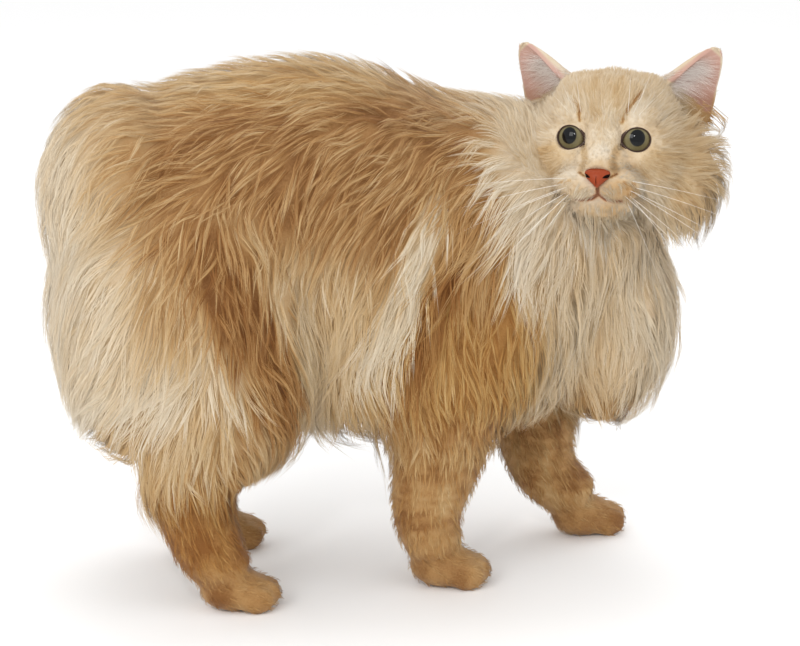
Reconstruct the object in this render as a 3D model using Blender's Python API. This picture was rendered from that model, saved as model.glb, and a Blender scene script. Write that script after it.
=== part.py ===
# Long-haired manx cat, standing, at life size. Metres, +Z up.
# +X is the way the body faces, -Y its right side. The origin is on the floor under the middle of the cat.
# The head is turned over the right shoulder.
import math
import random

import bmesh
import bpy
from mathutils import Matrix, Vector
from mathutils.bvhtree import BVHTree

cm = 0.01
mm = 0.001

# Driving sizes
joinGap = 0.3 * mm  # kept between two parts that meet
coatShare = 0.5  # how much of the coat's depth the core holds: 0 is the skin, 1 the tips
bodyGrain = 3.2 * mm  # voxel of the fused body
headGrain = 1.5 * mm  # voxel of the fused head and paws
coreTriangles = 1680  # the body's budget before it is parted
headTriangles = 1450
pawTriangles = 240

# Locks of the long coat, in cm: distance between roots, length, half width and half thickness
lockSpacing = 3.6
lockLength = (8.0, 10.5)
lockWidth = (1.3, 1.75)
lockThickness = 0.65
lockSeed = 16
shortCoat = (8.0, 12.0)  # heights between which a leg's coat goes from short to long

# The head's place: middle between the ears, way it looks, in degrees from +X and above the horizon
headCentre = Vector((12.85, -3.2, 26.5)) * cm
headTurn = -115.0
headTilt = 8.0

# Torso stations from rump to breast: x, top of back, underside, half width, then the coat over each, in cm
torsoStations = [
    (-15.8, 25.2, 20.4, 1.9, 2.6, 3.2, 3.4),
    (-13.6, 27.4, 17.0, 4.1, 2.2, 3.2, 4.6),
    (-9.5, 28.7, 15.0, 4.9, 1.9, 3.0, 5.0),
    (-4.0, 29.2, 13.8, 5.2, 1.9, 3.0, 5.2),
    (1.5, 27.5, 12.8, 5.4, 1.6, 3.0, 5.0),
    (6.5, 26.7, 12.2, 5.2, 1.6, 3.0, 4.8),
    (10.5, 25.3, 12.4, 4.4, 2.0, 3.2, 4.6),
    (13.0, 22.6, 13.8, 3.1, 2.8, 3.2, 4.4),
    (14.6, 19.6, 16.2, 1.3, 3.2, 3.2, 3.6),
]


def shapeOf(name, bm):
    """A new mesh object from a bmesh."""
    mesh = bpy.data.meshes.new(name)
    bmesh.ops.recalc_face_normals(bm, faces=bm.faces)
    bm.to_mesh(mesh)
    bm.free()
    made = bpy.data.objects.new(name, mesh)
    bpy.context.scene.collection.objects.link(made)
    return made


def smoothPath(points, steps):
    """Values along a smooth curve through tuples of numbers, `steps` for each stretch."""
    rows = [Vector(p) for p in points]
    rows = [2 * rows[0] - rows[1], *rows, 2 * rows[-1] - rows[-2]]
    path = []
    for a, b, c, d in zip(rows, rows[1:], rows[2:], rows[3:]):
        for i in range(steps):
            t = i / steps
            path.append(
                0.5 * (2 * b + (c - a) * t + (2 * a - 5 * b + 4 * c - d) * t**2 + (3 * b - a - 3 * c + d) * t**3)
            )
    return [*path, rows[-2]]


def ellipsoid(name, centre, radii, frame=Matrix.Identity(4), segments=24):
    bm = bmesh.new()
    size = Matrix.Diagonal((*radii, 1))
    bmesh.ops.create_uvsphere(
        bm, u_segments=segments, v_segments=segments // 2, radius=1, matrix=frame @ Matrix.Translation(centre) @ size
    )
    return shapeOf(name, bm)


def tube(name, rings, across, sides=20):
    """A closed loft. Each ring is (centre, half width, half height up, half height down). `across` fixes the side axis."""
    bm = bmesh.new()
    loops = []
    for i, (centre, width, up, down) in enumerate(rings):
        before = rings[max(i - 1, 0)][0]
        after = rings[min(i + 1, len(rings) - 1)][0]
        along = (after - before).normalized()
        side = (across - across.dot(along) * along).normalized()
        rise = along.cross(side)
        if rise.z < 0 or (abs(rise.z) < 0.35 and rise.x < 0):
            rise = -rise
        ring = bmesh.ops.create_circle(bm, segments=sides, radius=1)["verts"]
        for vert in ring:
            height = up if vert.co.y > 0 else down
            vert.co = centre + side * vert.co.x * width + rise * vert.co.y * height
        loops.append(ring)
    for first, second in zip(loops, loops[1:]):
        edges = {e for v in first for e in v.link_edges if e.other_vert(v) in first}
        edges |= {e for v in second for e in v.link_edges if e.other_vert(v) in second}
        bmesh.ops.bridge_loops(bm, edges=list(edges))
    for ring in (loops[0], loops[-1]):
        bmesh.ops.contextual_create(bm, geom=ring)
    return shapeOf(name, bm)


def blend(low, high, value):
    """0 at low, 1 at high, with a smooth change between."""
    t = min(1.0, max(0.0, (value - low) / (high - low)))
    return t * t * (3 - 2 * t)


def limb(name, stations, steps=4, across=Vector((0, 1, 0)), longCoat=True):
    """A tube through stations of (x, y, z, half width across, half depth, coat) in cm."""
    rings = []
    for x, y, z, wide, deep, coat in smoothPath(stations, steps):
        add = coat * (1 + (coatShare - 1) * blend(*shortCoat, z)) if longCoat else coat
        rings.append((Vector((x, y, z)) * cm, (wide + add) * cm, (deep + add) * cm, (deep + add) * cm))
    return tube(name, rings, across)


def evaluated(obj):
    """Applies an object's modifiers."""
    graph = bpy.context.evaluated_depsgraph_get()
    graph.update()
    mesh = bpy.data.meshes.new_from_object(obj.evaluated_get(graph))
    obj.modifiers.clear()
    obj.data = mesh
    return obj


def joined(name, pieces):
    """One object that holds all pieces' faces."""
    bm = bmesh.new()
    for piece in pieces:
        bm.from_mesh(piece.data)
        bpy.data.objects.remove(piece)
    return shapeOf(name, bm)


def fused(name, pieces, grain, rounds, triangles):
    """Pieces that overlap made one smooth skin of about that many triangles."""
    whole = joined(name, pieces)
    remesh = whole.modifiers.new("fuse", "REMESH")
    remesh.mode = "VOXEL"
    remesh.voxel_size = grain
    smooth = whole.modifiers.new("soften", "SMOOTH")
    smooth.factor = 0.5
    smooth.iterations = rounds
    evaluated(whole)
    faces = 2 * len(whole.data.polygons)
    thin = whole.modifiers.new("thin", "DECIMATE")
    thin.ratio = min(1.0, triangles / faces)
    return evaluated(whole)


def boolean(obj, operation, other, keep=False):
    """Applies one Boolean with another object, which is then removed."""
    cut = obj.modifiers.new("cut", "BOOLEAN")
    cut.operation = operation
    cut.solver = "MANIFOLD"
    cut.object = other
    evaluated(obj)
    if not keep:
        bpy.data.objects.remove(other)
    return obj


def largest(obj):
    """Keeps only the largest closed surface of an object. Faces belong together where just two share an edge."""
    bm = bmesh.new()
    bm.from_mesh(obj.data)
    todo, groups = set(bm.faces), []
    while todo:
        stack, group = [todo.pop()], []
        while stack:
            face = stack.pop()
            group.append(face)
            for edge in face.edges:
                if len(edge.link_faces) == 2:
                    near = [f for f in edge.link_faces if f in todo]
                    todo.difference_update(near)
                    stack += near
        groups.append(group)
    groups.sort(key=len)
    bmesh.ops.delete(bm, geom=[face for group in groups[:-1] for face in group], context="FACES")
    bm.to_mesh(obj.data)
    bm.free()
    return obj


def block(name, low, high, frame=Matrix.Identity(4), grow=0.0):
    """A box between two corners in a frame, grown on every side."""
    low, high = Vector(low) - Vector((grow,) * 3), Vector(high) + Vector((grow,) * 3)
    bm = bmesh.new()
    size = Matrix.Diagonal((*(high - low), 1))
    bmesh.ops.create_cube(bm, size=1, matrix=frame @ Matrix.Translation((low + high) / 2) @ size)
    return shapeOf(name, bm)


def carve(rest, name, low, high, frame=Matrix.Identity(4)):
    """Parts what lies in a box from the rest, with a thin cut between, and returns it."""
    piece = bpy.data.objects.new(name, rest.data.copy())
    bpy.context.scene.collection.objects.link(piece)
    boolean(piece, "INTERSECT", block("inside", low, high, frame, -joinGap / 2))
    boolean(rest, "DIFFERENCE", block("outside", low, high, frame, joinGap / 2))
    return largest(piece)


def carveBall(rest, name, centre, radii, frame=Matrix.Identity(4)):
    """Parts what lies in an ellipsoid from the rest, with a thin cut between, and returns it."""
    centre, radii = Vector(centre) * cm, Vector(radii) * cm
    cut = Vector((joinGap / 2,) * 3)
    piece = bpy.data.objects.new(name, rest.data.copy())
    bpy.context.scene.collection.objects.link(piece)
    boolean(piece, "INTERSECT", ellipsoid("inside", centre, radii - cut, frame, segments=20))
    boolean(rest, "DIFFERENCE", ellipsoid("outside", centre, radii + cut, frame, segments=20))
    return largest(piece)


def headFrame():
    """Local axes of the head: x to the nose, y to the cat's left, z up through the crown."""
    turn = Matrix.Rotation(math.radians(headTurn), 4, "Z")
    tilt = Matrix.Rotation(math.radians(-headTilt), 4, "Y")
    return Matrix.Translation(headCentre) @ turn @ tilt


# Body


def torso():
    rings = []
    for x, top, bottom, wide, coatTop, coatSide, coatBottom in smoothPath(torsoStations, 3):
        middle = (top + bottom) / 2
        half = (top - bottom) / 2
        rings.append(
            (
                Vector((x, 0, middle)) * cm,
                (wide + coatSide * coatShare) * cm,
                (half + coatTop * coatShare) * cm,
                (half + coatBottom * coatShare) * cm,
            )
        )
    return tube("torso", rings, Vector((0, 1, 0)), sides=28)


def neck():
    stations = [
        (8.0, 0.0, 19.8, 4.0, 4.8, 2.6),
        (10.4, -0.3, 21.6, 3.4, 4.0, 2.8),
        (12.0, -1.0, 23.4, 3.0, 3.3, 2.8),
        (12.6, -1.9, 25.4, 2.8, 2.9, 2.4),
    ]
    return limb("neck", stations)


def ruff():
    """The bib of long hair that hangs from throat to breast."""
    add = 1.0 * coatShare
    return [
        ellipsoid("ruffBack", Vector((11.0, -0.6, 20.0)) * cm, Vector((4.6 + add, 5.0 + add, 5.2 + add)) * cm),
        ellipsoid("ruffFront", Vector((13.2, -0.8, 15.5)) * cm, Vector((3.6 + add, 4.2 + add, 5.8 + add)) * cm),
    ]


def rumpTuft():
    """The round tuft where a tail would be, and the long hair behind the thighs."""
    add = 1.4 * coatShare
    return [
        ellipsoid("tuft", Vector((-14.5, 0, 23.4)) * cm, Vector((3.6 + add, 5.2 + add, 4.9 + add)) * cm),
    ] + [
        ellipsoid("breeches", Vector((x, y * side, z)) * cm, Vector([(r + add) * cm for r in radii]))
        for side in (-1, 1)
        for x, y, z, radii in ((-13.5, 2.4, 16.9, (4.2, 4.6, 7.1)), (-12.6, 3.4, 12.6, (3.4, 3.0, 3.6)))
    ]


def hindLeg(side, footX, footY):
    """Thigh, shank, hock and instep of one hind leg. side is -1 on the right."""
    y = footY * side
    thigh = [
        (-10.5, 3.2 * side, 22.5, 2.2, 4.0, 2.4),
        (-10.6, 4.0 * side, 18.5, 2.6, 4.9, 2.7),
        (-10.3, 4.7 * side, 14.5, 2.4, 4.2, 2.6),
        (-10.8, y, 11.0, 1.9, 3.1, 2.2),
        (footX - 2.55, y, 8.0, 1.3, 1.85, 1.4),
        (footX - 2.25, y, 5.6, 1.15, 1.6, 0.8),
        (footX - 1.3, y, 3.2, 1.15, 1.45, 0.7),
        (footX - 0.2, y, 1.9, 1.1, 1.1, 0.5),
    ]
    return limb("hindLeg", thigh)


def foreLeg(side, elbowX, wristX, footX, footY):
    y = footY * side
    stations = [
        (8.0, 3.4 * side, 19.5, 2.0, 3.2, 2.4),
        ((8.0 + elbowX) / 2, 4.0 * side, 15.5, 2.0, 2.9, 2.2),
        (elbowX, 4.0 * side, 12.0, 1.7, 2.6, 1.7),
        ((elbowX + wristX) / 2, (y + 4.0 * side) / 2, 8.2, 1.4, 2.0, 1.2),
        (wristX + 0.1, y, 4.6, 1.2, 1.5, 0.9),
        (footX - 0.5, y, 2.2, 1.2, 1.3, 0.5),
    ]
    return limb("foreLeg", stations)


def paw(footX, footY, turn, grow=1.0):
    """Four toes and a pad, flat underneath. turn is degrees from +X."""
    frame = Matrix.Translation(Vector((footX, footY, 0)) * cm) @ Matrix.Rotation(math.radians(turn), 4, "Z")
    frame = frame @ Matrix.Scale(grow, 4)
    fur = 0.25
    parts = [
        ellipsoid("pad", Vector((-0.2, 0, 1.15)) * cm, Vector((1.9 + fur, 1.55 + fur, 1.2 + fur)) * cm, frame),
    ]
    for k in range(4):
        spread = (k - 1.5) / 1.5
        toe = Vector((1.55 - 0.45 * spread**2, 1.12 * spread, 0.92 - 0.12 * spread**2)) * cm
        parts.append(ellipsoid("toe", toe, Vector((1.0 + fur, 0.52 + fur * 0.5, 0.82 + fur)) * cm, frame))
    return parts


# Head, in its own frame: x to the nose, y to the cat's left, z up, sizes in cm

eyeCentre = (2.42, 1.68, -0.45)
eyeRadius = 1.02
eyeOpening = (0.8, 0.7)  # half width and half height between the lids
eyeSplay = 14.0  # degrees that an eye looks outward
lidThickness = 0.12
noseCentre = (5.08, 0.0, -2.58)
noseSize = (0.55, 0.9, 0.54)  # depth, half width, half height

# Ear stations from root to tip: height over the base line, slide along it, half width, half depth
earStations = [
    (-1.3, 0.35, 2.05, 1.25),
    (0.2, 0.24, 1.88, 1.12),
    (1.4, 0.05, 1.38, 0.82),
    (2.4, -0.1, 0.95, 0.48),
    (3.1, -0.27, 0.56, 0.24),
    (3.38, -0.4, 0.24, 0.12),
]
earBase = (-2.2, 3.6, 2.0)  # middle of the base line
earLean = 40.0  # degrees that the ear's height leans out from straight up
earTurn = 30.0  # degrees that the cup opens outward from straight ahead
earWall = 0.2
mouthLine = [(0.0, -3.1), (0.0, -3.5), (0.35, -3.76), (0.8, -3.86), (1.35, -3.84)]  # y, z of the left half


def inHead(x, y, z):
    return Vector((x, y, z)) * cm


def headParts():
    def ball(x, y, z, rx, ry, rz, coat, share=1.0):
        add = coat * share
        return ellipsoid("ball", inHead(x, y, z), inHead(rx + add, ry + add, rz + add))

    parts = [
        ball(-0.6, 0, 0.35, 3.9, 3.5, 2.7, 0.6),  # cranium
        ball(1.5, 0, 1.1, 1.9, 2.6, 1.8, 0.4),  # forehead
        ball(1.4, 0, -3.4, 2.6, 2.1, 1.2, 0.5),  # jaw
        ball(3.1, 0, -4.2, 1.1, 1.75, 0.72, 0.2),  # chin
    ]
    for side in (-1, 1):
        parts += [
            ball(-0.8, 1.75 * side, 1.5, 2.0, 1.4, 1.5, 0.4),  # crown
            ball(3.45, 0.88 * side, -1.75, 1.0, 0.62, 0.75, 0.12),  # side of the nose
            ball(0.7, 2.1 * side, -1.6, 2.5, 1.9, 2.4, 1.1),  # cheek
            ball(-0.6, 3.2 * side, -2.45, 2.2, 2.15, 2.45, 1.6, coatShare),  # cheek ruff
            ball(2.3, 1.7 * side, 0.7, 1.0, 1.25, 0.7, 0.25),  # brow
            ball(2.5, 2.1 * side, -1.6, 1.3, 1.1, 0.9, 0.3),  # under the eye
            ball(3.95, 1.05 * side, -3.0, 1.25, 1.3, 0.86, 0.18),  # whisker pad
        ]
    bridge = [
        (2.2, 0, 0.8, 1.0, 1.0, 0.2),
        (3.3, 0, -0.4, 0.95, 0.9, 0.15),
        (4.3, 0, -1.5, 0.82, 0.75, 0.1),
        (5.0, 0, -2.25, 0.72, 0.6, 0.0),
    ]
    return [*parts, limb("bridge", bridge, longCoat=False)]


def earFrame(side):
    """Axes of one ear: x forward, y along its base line outward and down, z up its height."""
    lean = Matrix.Rotation(math.radians(-earLean * side), 4, "X")
    turn = Matrix.Rotation(math.radians(earTurn * side), 4, "Z")
    middle = Matrix.Translation(inHead(earBase[0], earBase[1] * side, earBase[2]))
    return middle @ lean @ turn


def earLoft(name, side, thinner, forward, deeper):
    rings = []
    for height, slide, wide, deep in smoothPath(earStations, 2):
        rings.append(
            (
                inHead(forward * deep, slide * side, height),
                max(wide - thinner, 0.04) * cm,
                max(deep * deeper - thinner, 0.04) * cm,
                max(deep * deeper - thinner, 0.04) * cm,
            )
        )
    loft = tube(name, rings, Vector((0, 1, 0)), sides=14)
    loft.data.transform(earFrame(side))
    return loft


def ear(side):
    """A cupped ear that opens forward."""
    shell = earLoft("ear", side, 0.0, 0.0, 1.0)
    hollow = earLoft("earHollow", side, earWall, 0.85, 1.15)
    return boolean(shell, "DIFFERENCE", hollow)


def eyeFrame(side):
    x, y, z = eyeCentre
    splay = Matrix.Rotation(math.radians(eyeSplay * side), 4, "Z")
    return Matrix.Translation(inHead(x, y * side, z)) @ splay


def eyeball(name, side, grow=0.0):
    radius = (eyeRadius + grow) * cm
    return ellipsoid(name, Vector(), Vector((radius,) * 3), eyeFrame(side), segments=14)


def lidOpening(side):
    """A prism along the eye's axis with the outline of the open lids, drawn out at the inner corner."""
    wide, high = eyeOpening
    bm = bmesh.new()
    ring = bmesh.ops.create_circle(bm, segments=16, radius=1, cap_ends=True)["verts"]
    for vert in ring:
        across, up = vert.co.x, vert.co.y
        corner = max(0.0, -across * side) ** 6
        vert.co = Vector((0, across * wide * (1 + 0.12 * corner), up * high - 0.1 * corner)) * cm
    face = bm.faces[:]
    made = bmesh.ops.extrude_face_region(bm, geom=face)["geom"]
    bmesh.ops.translate(bm, vec=Vector((2.5 * cm, 0, 0)), verts=[g for g in made if isinstance(g, bmesh.types.BMVert)])
    prism = shapeOf("lidOpening", bm)
    prism.data.transform(eyeFrame(side))
    return prism


def noseLeather(grow=0.0):
    """A rounded triangular pad, wide at the top."""
    depth, wide, high = (size + grow for size in noseSize)
    bm = bmesh.new()
    bmesh.ops.create_uvsphere(bm, u_segments=14, v_segments=8, radius=1)
    for vert in bm.verts:
        x, y, z = vert.co
        taper = 0.58 + 0.42 * z  # narrow below, wide above
        vert.co = Vector((x * depth, y * wide * max(taper, 0.16) * 1.15, z * high)) * cm
    pad = shapeOf("nose", bm)
    pad.data.transform(Matrix.Translation(inHead(*noseCentre)))
    return pad


def nostril(side):
    x, y, z = noseCentre
    slant = Matrix.Translation(inHead(x + 0.36, 0.36 * side, z + 0.04)) @ Matrix.Rotation(0.5 * side, 4, "X")
    return ellipsoid("nostril", Vector(), inHead(0.3, 0.16, 0.1), slant, segments=8)


def mouthGroove(surface, side):
    """A thin tube that follows the line of the closed mouth on the muzzle."""
    tree = BVHTree.FromObject(surface, bpy.context.evaluated_depsgraph_get())
    rings = []
    for y, z in smoothPath(mouthLine, 2):
        hit = tree.ray_cast(inHead(9, (y + 0.02) * side, z), Vector((-1, 0, 0)))[0]
        rings.append((hit, 0.07 * cm, 0.07 * cm, 0.07 * cm))
    return tube("mouth", rings, Vector((1, 0, 0)), sides=4)


def wholeHead():
    """The head with ears and lids, and what is cut from its face, all still in its own frame."""
    head = fused("head", headParts(), headGrain, 4, headTriangles)
    cutters = [noseLeather(joinGap / cm)]
    for side in (-1, 1):
        cutters += [eyeball("socket", side, joinGap / cm), lidOpening(side), mouthGroove(head, side)]
    for side in (-1, 1):
        boolean(head, "UNION", ear(side))
        boolean(head, "UNION", eyeball("lid", side, lidThickness))
    return head, cutters


def clearScene():
    for obj in list(bpy.data.objects):
        bpy.data.objects.remove(obj)


def union(name, pieces):
    """One closed body from pieces that overlap, by one Boolean on their collection."""
    first, others = pieces[0], pieces[1:]
    group = bpy.data.collections.new("pieces")
    bpy.context.scene.collection.children.link(group)
    for piece in others:
        group.objects.link(piece)
    join = first.modifiers.new("join", "BOOLEAN")
    join.operation = "UNION"
    join.solver = "MANIFOLD"
    join.operand_type = "COLLECTION"
    join.collection = group
    evaluated(first)
    for piece in others:
        bpy.data.objects.remove(piece)
    bpy.data.collections.remove(group)
    first.name = name
    return first


# Coat


def coatLie(point, normal):
    """The way that the long hair lies at a point of the body."""
    x, y, z = point / cm
    side = 1 if y > 0 else -1
    flank = Vector((-0.62, 0, -0.85))
    back = Vector((-1.0, 0.3 * side, -0.1))
    rear = Vector((-0.3, 0.2 * side, -0.95))
    bib = Vector((0.12, 0, -1.0))
    lie = flank.lerp(back, blend(0.45, 0.95, normal.z))
    lie = lie.lerp(rear, blend(-10, -15, x))
    lie = lie.lerp(bib, blend(11, 15, x))
    away = point - headCentre
    lie = lie.normalized().lerp(away.normalized(), 0.8 * blend(14 * cm, 7 * cm, away.length))
    lie = lie - normal * lie.dot(normal)
    return lie.normalized().lerp(Vector((0, 0, -1)), 0.15 + 0.75 * blend(0.1, -0.6, normal.z))


def coatRise(point, normal):
    """Height of the locks' tips over the core: thick on the flanks, thin along the back."""
    x = point.x / cm
    return (1.7 + 0.3 * blend(0.8, 0.1, abs(normal.z)) - 0.8 * blend(-11, -16, x) - 0.9 * blend(12, 15, x)) * cm


def lockReach(root, length):
    """Cuts a lock short where it would hang below the coat's edge."""
    x = root.x / cm
    edge = 7.9 - 0.6 * blend(-8, -12, x) + 0.6 * blend(8, 13, x)
    return min(length, max(root.z - edge * cm, 3.0 * cm)) * (1 - 0.35 * blend(-11, -14, x))


def lock(name, tree, root, length, wide, thick, lie, rise, steps=4):
    """A flat tapered lock. It starts sunk in the core, follows the lie of the coat and rises to a free tip."""
    place, normal = tree.find_nearest(root)[:2]
    heading = lie(place, normal).normalized()
    point = place - normal * 0.3 * cm - heading * length * 0.12
    widths, depths = (0.85, 1.0, 0.85, 0.5), (0.9, 1.1, 1.0, 0.65)
    bm = bmesh.new()
    rings = []
    for k in range(steps):
        near, normal = tree.find_nearest(point)[:2]
        side = heading.cross(normal).normalized()
        up = side.cross(heading)
        half, deep = wide * widths[k], thick * depths[k]
        corners = (side * half, up * deep, side * -half, up * -deep)
        rings.append([bm.verts.new(point + corner) for corner in corners])
        height = (point - near).dot(normal)
        want = rise(near, normal) * (0.7, 0.85, 0.95, 1.0)[k] - thick * 0.6
        steer = lie(near, normal) + normal * (want - height) / (length / steps)
        heading = (heading * 0.25 + steer.normalized() * 0.75).normalized()
        point = point + heading * length / steps
    tip = bm.verts.new(point)
    for first, second in zip(rings, rings[1:]):
        for i in range(4):
            bm.faces.new((first[i], first[i - 1], second[i - 1], second[i]))
    for i in range(4):
        bm.faces.new((rings[-1][i], rings[-1][i - 1], tip))
    bm.faces.new(rings[0])
    return shapeOf(name, bm)


def scattered(mesh, spacing, accept, chance):
    """Points spread over a mesh, none nearer to another than the spacing."""
    mesh.calc_loop_triangles()
    corners = [[mesh.vertices[i].co for i in t.vertices] for t in mesh.loop_triangles]
    areas = [(b - a).cross(c - a).length for a, b, c in corners]
    found = []
    for a, b, c in chance.choices(corners, areas, k=6000):
        u, v = chance.random(), chance.random()
        if u + v > 1:
            u, v = 1 - u, 1 - v
        point = a + (b - a) * u + (c - a) * v
        if accept(point) and all((point - other).length > spacing for other in found):
            found.append(point)
    return found


def bodyLocks(body):
    chance = random.Random(lockSeed)
    tree = BVHTree.FromObject(body, bpy.context.evaluated_depsgraph_get())

    def accept(point):
        inHeadRegion = (point - headCentre).length < 6.2 * cm
        return point.z > 10.5 * cm and not inHeadRegion

    locks = []
    for root in scattered(body.data, lockSpacing * cm, accept, chance):
        length = lockReach(root, chance.uniform(*lockLength) * cm)
        wide = min(chance.uniform(*lockWidth) * cm, length * 0.22)
        locks.append(lock("lock", tree, root, length, wide, lockThickness * cm, coatLie, coatRise))
    print(len(locks), "locks on the body")
    return locks


def cheekLocks(head):
    """Locks of the cheeks' ruff, in the head's frame."""
    chance = random.Random(lockSeed)
    tree = BVHTree.FromObject(head, bpy.context.evaluated_depsgraph_get())

    def lie(point, normal):
        side = 1 if point.y > 0 else -1
        flow = Vector((-0.5, 0.75 * side, -0.75))
        return flow - normal * flow.dot(normal) * 0.8

    locks = []
    for side in (-1, 1):
        for x, y, z in ((-0.2, 4.4, 0.0), (0.4, 4.1, -1.2), (0.7, 3.7, -2.5), (0.8, 2.8, -3.8), (-0.4, 4.4, -2.6), (-1.2, 4.6, -1.4)):
            root = inHead(x, y * side, z)
            length, wide = chance.uniform(3.2, 3.9) * cm, chance.uniform(0.9, 1.1) * cm
            locks.append(lock("lock", tree, root, length, wide, 0.4 * cm, lie, lambda near, normal: 0.9 * cm))
    return locks


# Feet: x, y, turn of the toes in degrees, share of the usual size
feet = {
    "hindpaw_right": (-9.3, -4.9, -8, 1.0),
    "hindpaw_left": (-8.5, 5.6, 8, 1.0),
    "forepaw_right": (3.3, -3.6, -12, 1.02),
    "forepaw_left": (13.9, 3.6, 10, 1.02),
}
pawTop = 2.7  # height of the cut between a paw and its leg


def finish(name, obj, colour, roughness):
    obj.name = name
    obj.data.name = name
    obj.data.materials.clear()
    material = bpy.data.materials.new(name)
    material.use_nodes = True
    shader = material.node_tree.nodes["Principled BSDF"]
    shader.inputs["Base Color"].default_value = (*colour, 1)
    shader.inputs["Roughness"].default_value = roughness
    obj.data.materials.append(material)
    obj.data.shade_smooth()
    obj.data.set_sharp_from_angle(angle=math.radians(40))


def standOnOrigin():
    """Moves every part by one step, so that the origin is under the middle of the whole cat."""
    points = [v.co for obj in bpy.data.objects for v in obj.data.vertices]
    middleX = (min(p.x for p in points) + max(p.x for p in points)) / 2
    middleY = (min(p.y for p in points) + max(p.y for p in points)) / 2
    print(f"middle {middleX:.5f} {middleY:.5f}")
    for obj in bpy.data.objects:
        obj.data.transform(Matrix.Translation((-middleX, -middleY, 0)))


def build():
    clearScene()
    frame = headFrame()
    body = fused(
        "body",
        [
            torso(),
            neck(),
            *ruff(),
            *rumpTuft(),
            hindLeg(-1, -9.3, 4.9),
            hindLeg(1, -8.5, 5.6),
            foreLeg(-1, 3.5, 2.0, 3.1, 3.6),
            foreLeg(1, 9.8, 11.0, 13.8, 3.6),
        ],
        bodyGrain,
        6,
        coreTriangles,
    )
    locks = bodyLocks(body)
    head, cutters = wholeHead()
    cheeks = cheekLocks(head)
    for piece in (head, *cutters, *cheeks):
        piece.data.transform(frame)
    paws = [fused(name, paw(*place), headGrain, 3, pawTriangles) for name, place in feet.items()]
    whole = union("whole", [body, head, *paws, *locks, *cheeks])
    boolean(whole, "INTERSECT", block("floor", Vector((-40, -30, 0)) * cm, Vector((40, 30, 60)) * cm))
    for cutter in cutters:
        boolean(whole, "DIFFERENCE", cutter)

    parts = {}

    def part(name, low, high, where=Matrix.Identity(4)):
        parts[name] = carve(whole, name, Vector(low) * cm, Vector(high) * cm, where)

    for side, word in ((-1, "right"), (1, "left")):
        part("ear_" + word, (-1.5, -2.6, 0.15), (1.7, 2.6, 4.2), frame @ earFrame(side))
    parts["head"] = carveBall(whole, "head", (1.1, 0, 0.5), (5.9, 7.2, 6.2), frame)
    for name, (x, y, turn, grow) in feet.items():
        part(name, (x - 3.6, y - 2.9, -1), (x + 4.4, y + 2.9, pawTop))
    part("foreleg_right", (-0.6, -8, 2.7), (7.2, -0.4, 9.4))
    part("foreleg_left", (8.6, 0.4, 2.7), (16.5, 8, 9.0))
    part("hindleg_right", (-16, -8.5, 2.7), (-5, -1, 8.4))
    part("hindleg_left", (-16, 1, 2.7), (-5, 8.5, 8.4))
    part("thigh_right", (-26, -14, 4), (-5.2, -2.4, 21.5))
    part("thigh_left", (-26, 2.4, 4), (-5.2, 14, 21.5))
    parts["neck"] = carveBall(whole, "neck", (11.8, -0.8, 23.4), (8.0, 10.5, 8.0))
    part("rump", (-30, -14, 2), (-8.6, 14, 40))
    part("belly", (-8.6, -14, 2), (3.6, 14, 40))
    parts["chest"] = largest(whole)

    coat, pale, pink, iris = (0.52, 0.33, 0.17), (0.72, 0.56, 0.36), (0.62, 0.22, 0.16), (0.22, 0.22, 0.08)
    for name, obj in parts.items():
        finish(name, obj, pale if name in ("head", "neck", "chest") else coat, 0.9)
    for side, word in ((-1, "right"), (1, "left")):
        eye = eyeball("eye", side)
        eye.data.transform(frame)
        finish("eye_" + word, eye, iris, 0.1)
    nose = noseLeather()
    for side in (-1, 1):
        boolean(nose, "DIFFERENCE", nostril(side))
    nose.data.transform(frame)
    finish("nose", nose, pink, 0.5)
    standOnOrigin()


build()
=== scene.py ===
import math

import bmesh
import bpy
import numpy as np
from mathutils import Matrix, Vector
from mathutils.bvhtree import BVHTree


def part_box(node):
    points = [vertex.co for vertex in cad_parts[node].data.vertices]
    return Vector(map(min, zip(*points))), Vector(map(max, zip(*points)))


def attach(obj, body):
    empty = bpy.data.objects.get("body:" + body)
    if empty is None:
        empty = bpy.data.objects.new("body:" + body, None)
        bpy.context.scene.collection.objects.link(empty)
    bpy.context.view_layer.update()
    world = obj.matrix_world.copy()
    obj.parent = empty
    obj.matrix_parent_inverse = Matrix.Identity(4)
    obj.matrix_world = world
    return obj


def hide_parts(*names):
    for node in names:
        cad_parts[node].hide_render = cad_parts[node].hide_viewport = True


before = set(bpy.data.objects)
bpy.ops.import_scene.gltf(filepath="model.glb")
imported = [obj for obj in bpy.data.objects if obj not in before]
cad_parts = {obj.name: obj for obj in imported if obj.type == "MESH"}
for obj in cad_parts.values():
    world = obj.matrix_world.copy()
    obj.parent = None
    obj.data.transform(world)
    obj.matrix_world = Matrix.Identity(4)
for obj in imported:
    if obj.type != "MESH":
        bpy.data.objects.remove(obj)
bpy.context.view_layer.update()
print("frame loaded")

# Shapes are worked out in centimetres, x the way the body faces and -y its right side, then set in metres
cm = 0.01
chance = np.random.default_rng(5)

head = {"centre": (12.85, -3.2, 26.5), "turn": -115.0, "tilt": 8.0}
eye = {"place": (2.42, 1.68, -0.45), "radius": 1.02, "opening": (0.8, 0.7), "splay": 14.0, "lid": 0.12}

headFrame = (
    Matrix.Translation(head["centre"])
    @ Matrix.Rotation(math.radians(head["turn"]), 4, "Z")
    @ Matrix.Rotation(math.radians(-head["tilt"]), 4, "Y")
)


def eyeFrame(side):
    x, y, z = eye["place"]
    return Matrix.Translation((x, y * side, z)) @ Matrix.Rotation(math.radians(eye["splay"] * side), 4, "Z")


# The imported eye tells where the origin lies
low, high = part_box("eye_right")
shift = (Vector(low) + Vector(high)) / 2 - (headFrame @ eyeFrame(-1)).translation * cm
print("origin shift", [round(v, 5) for v in shift])


# Small tools


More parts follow.
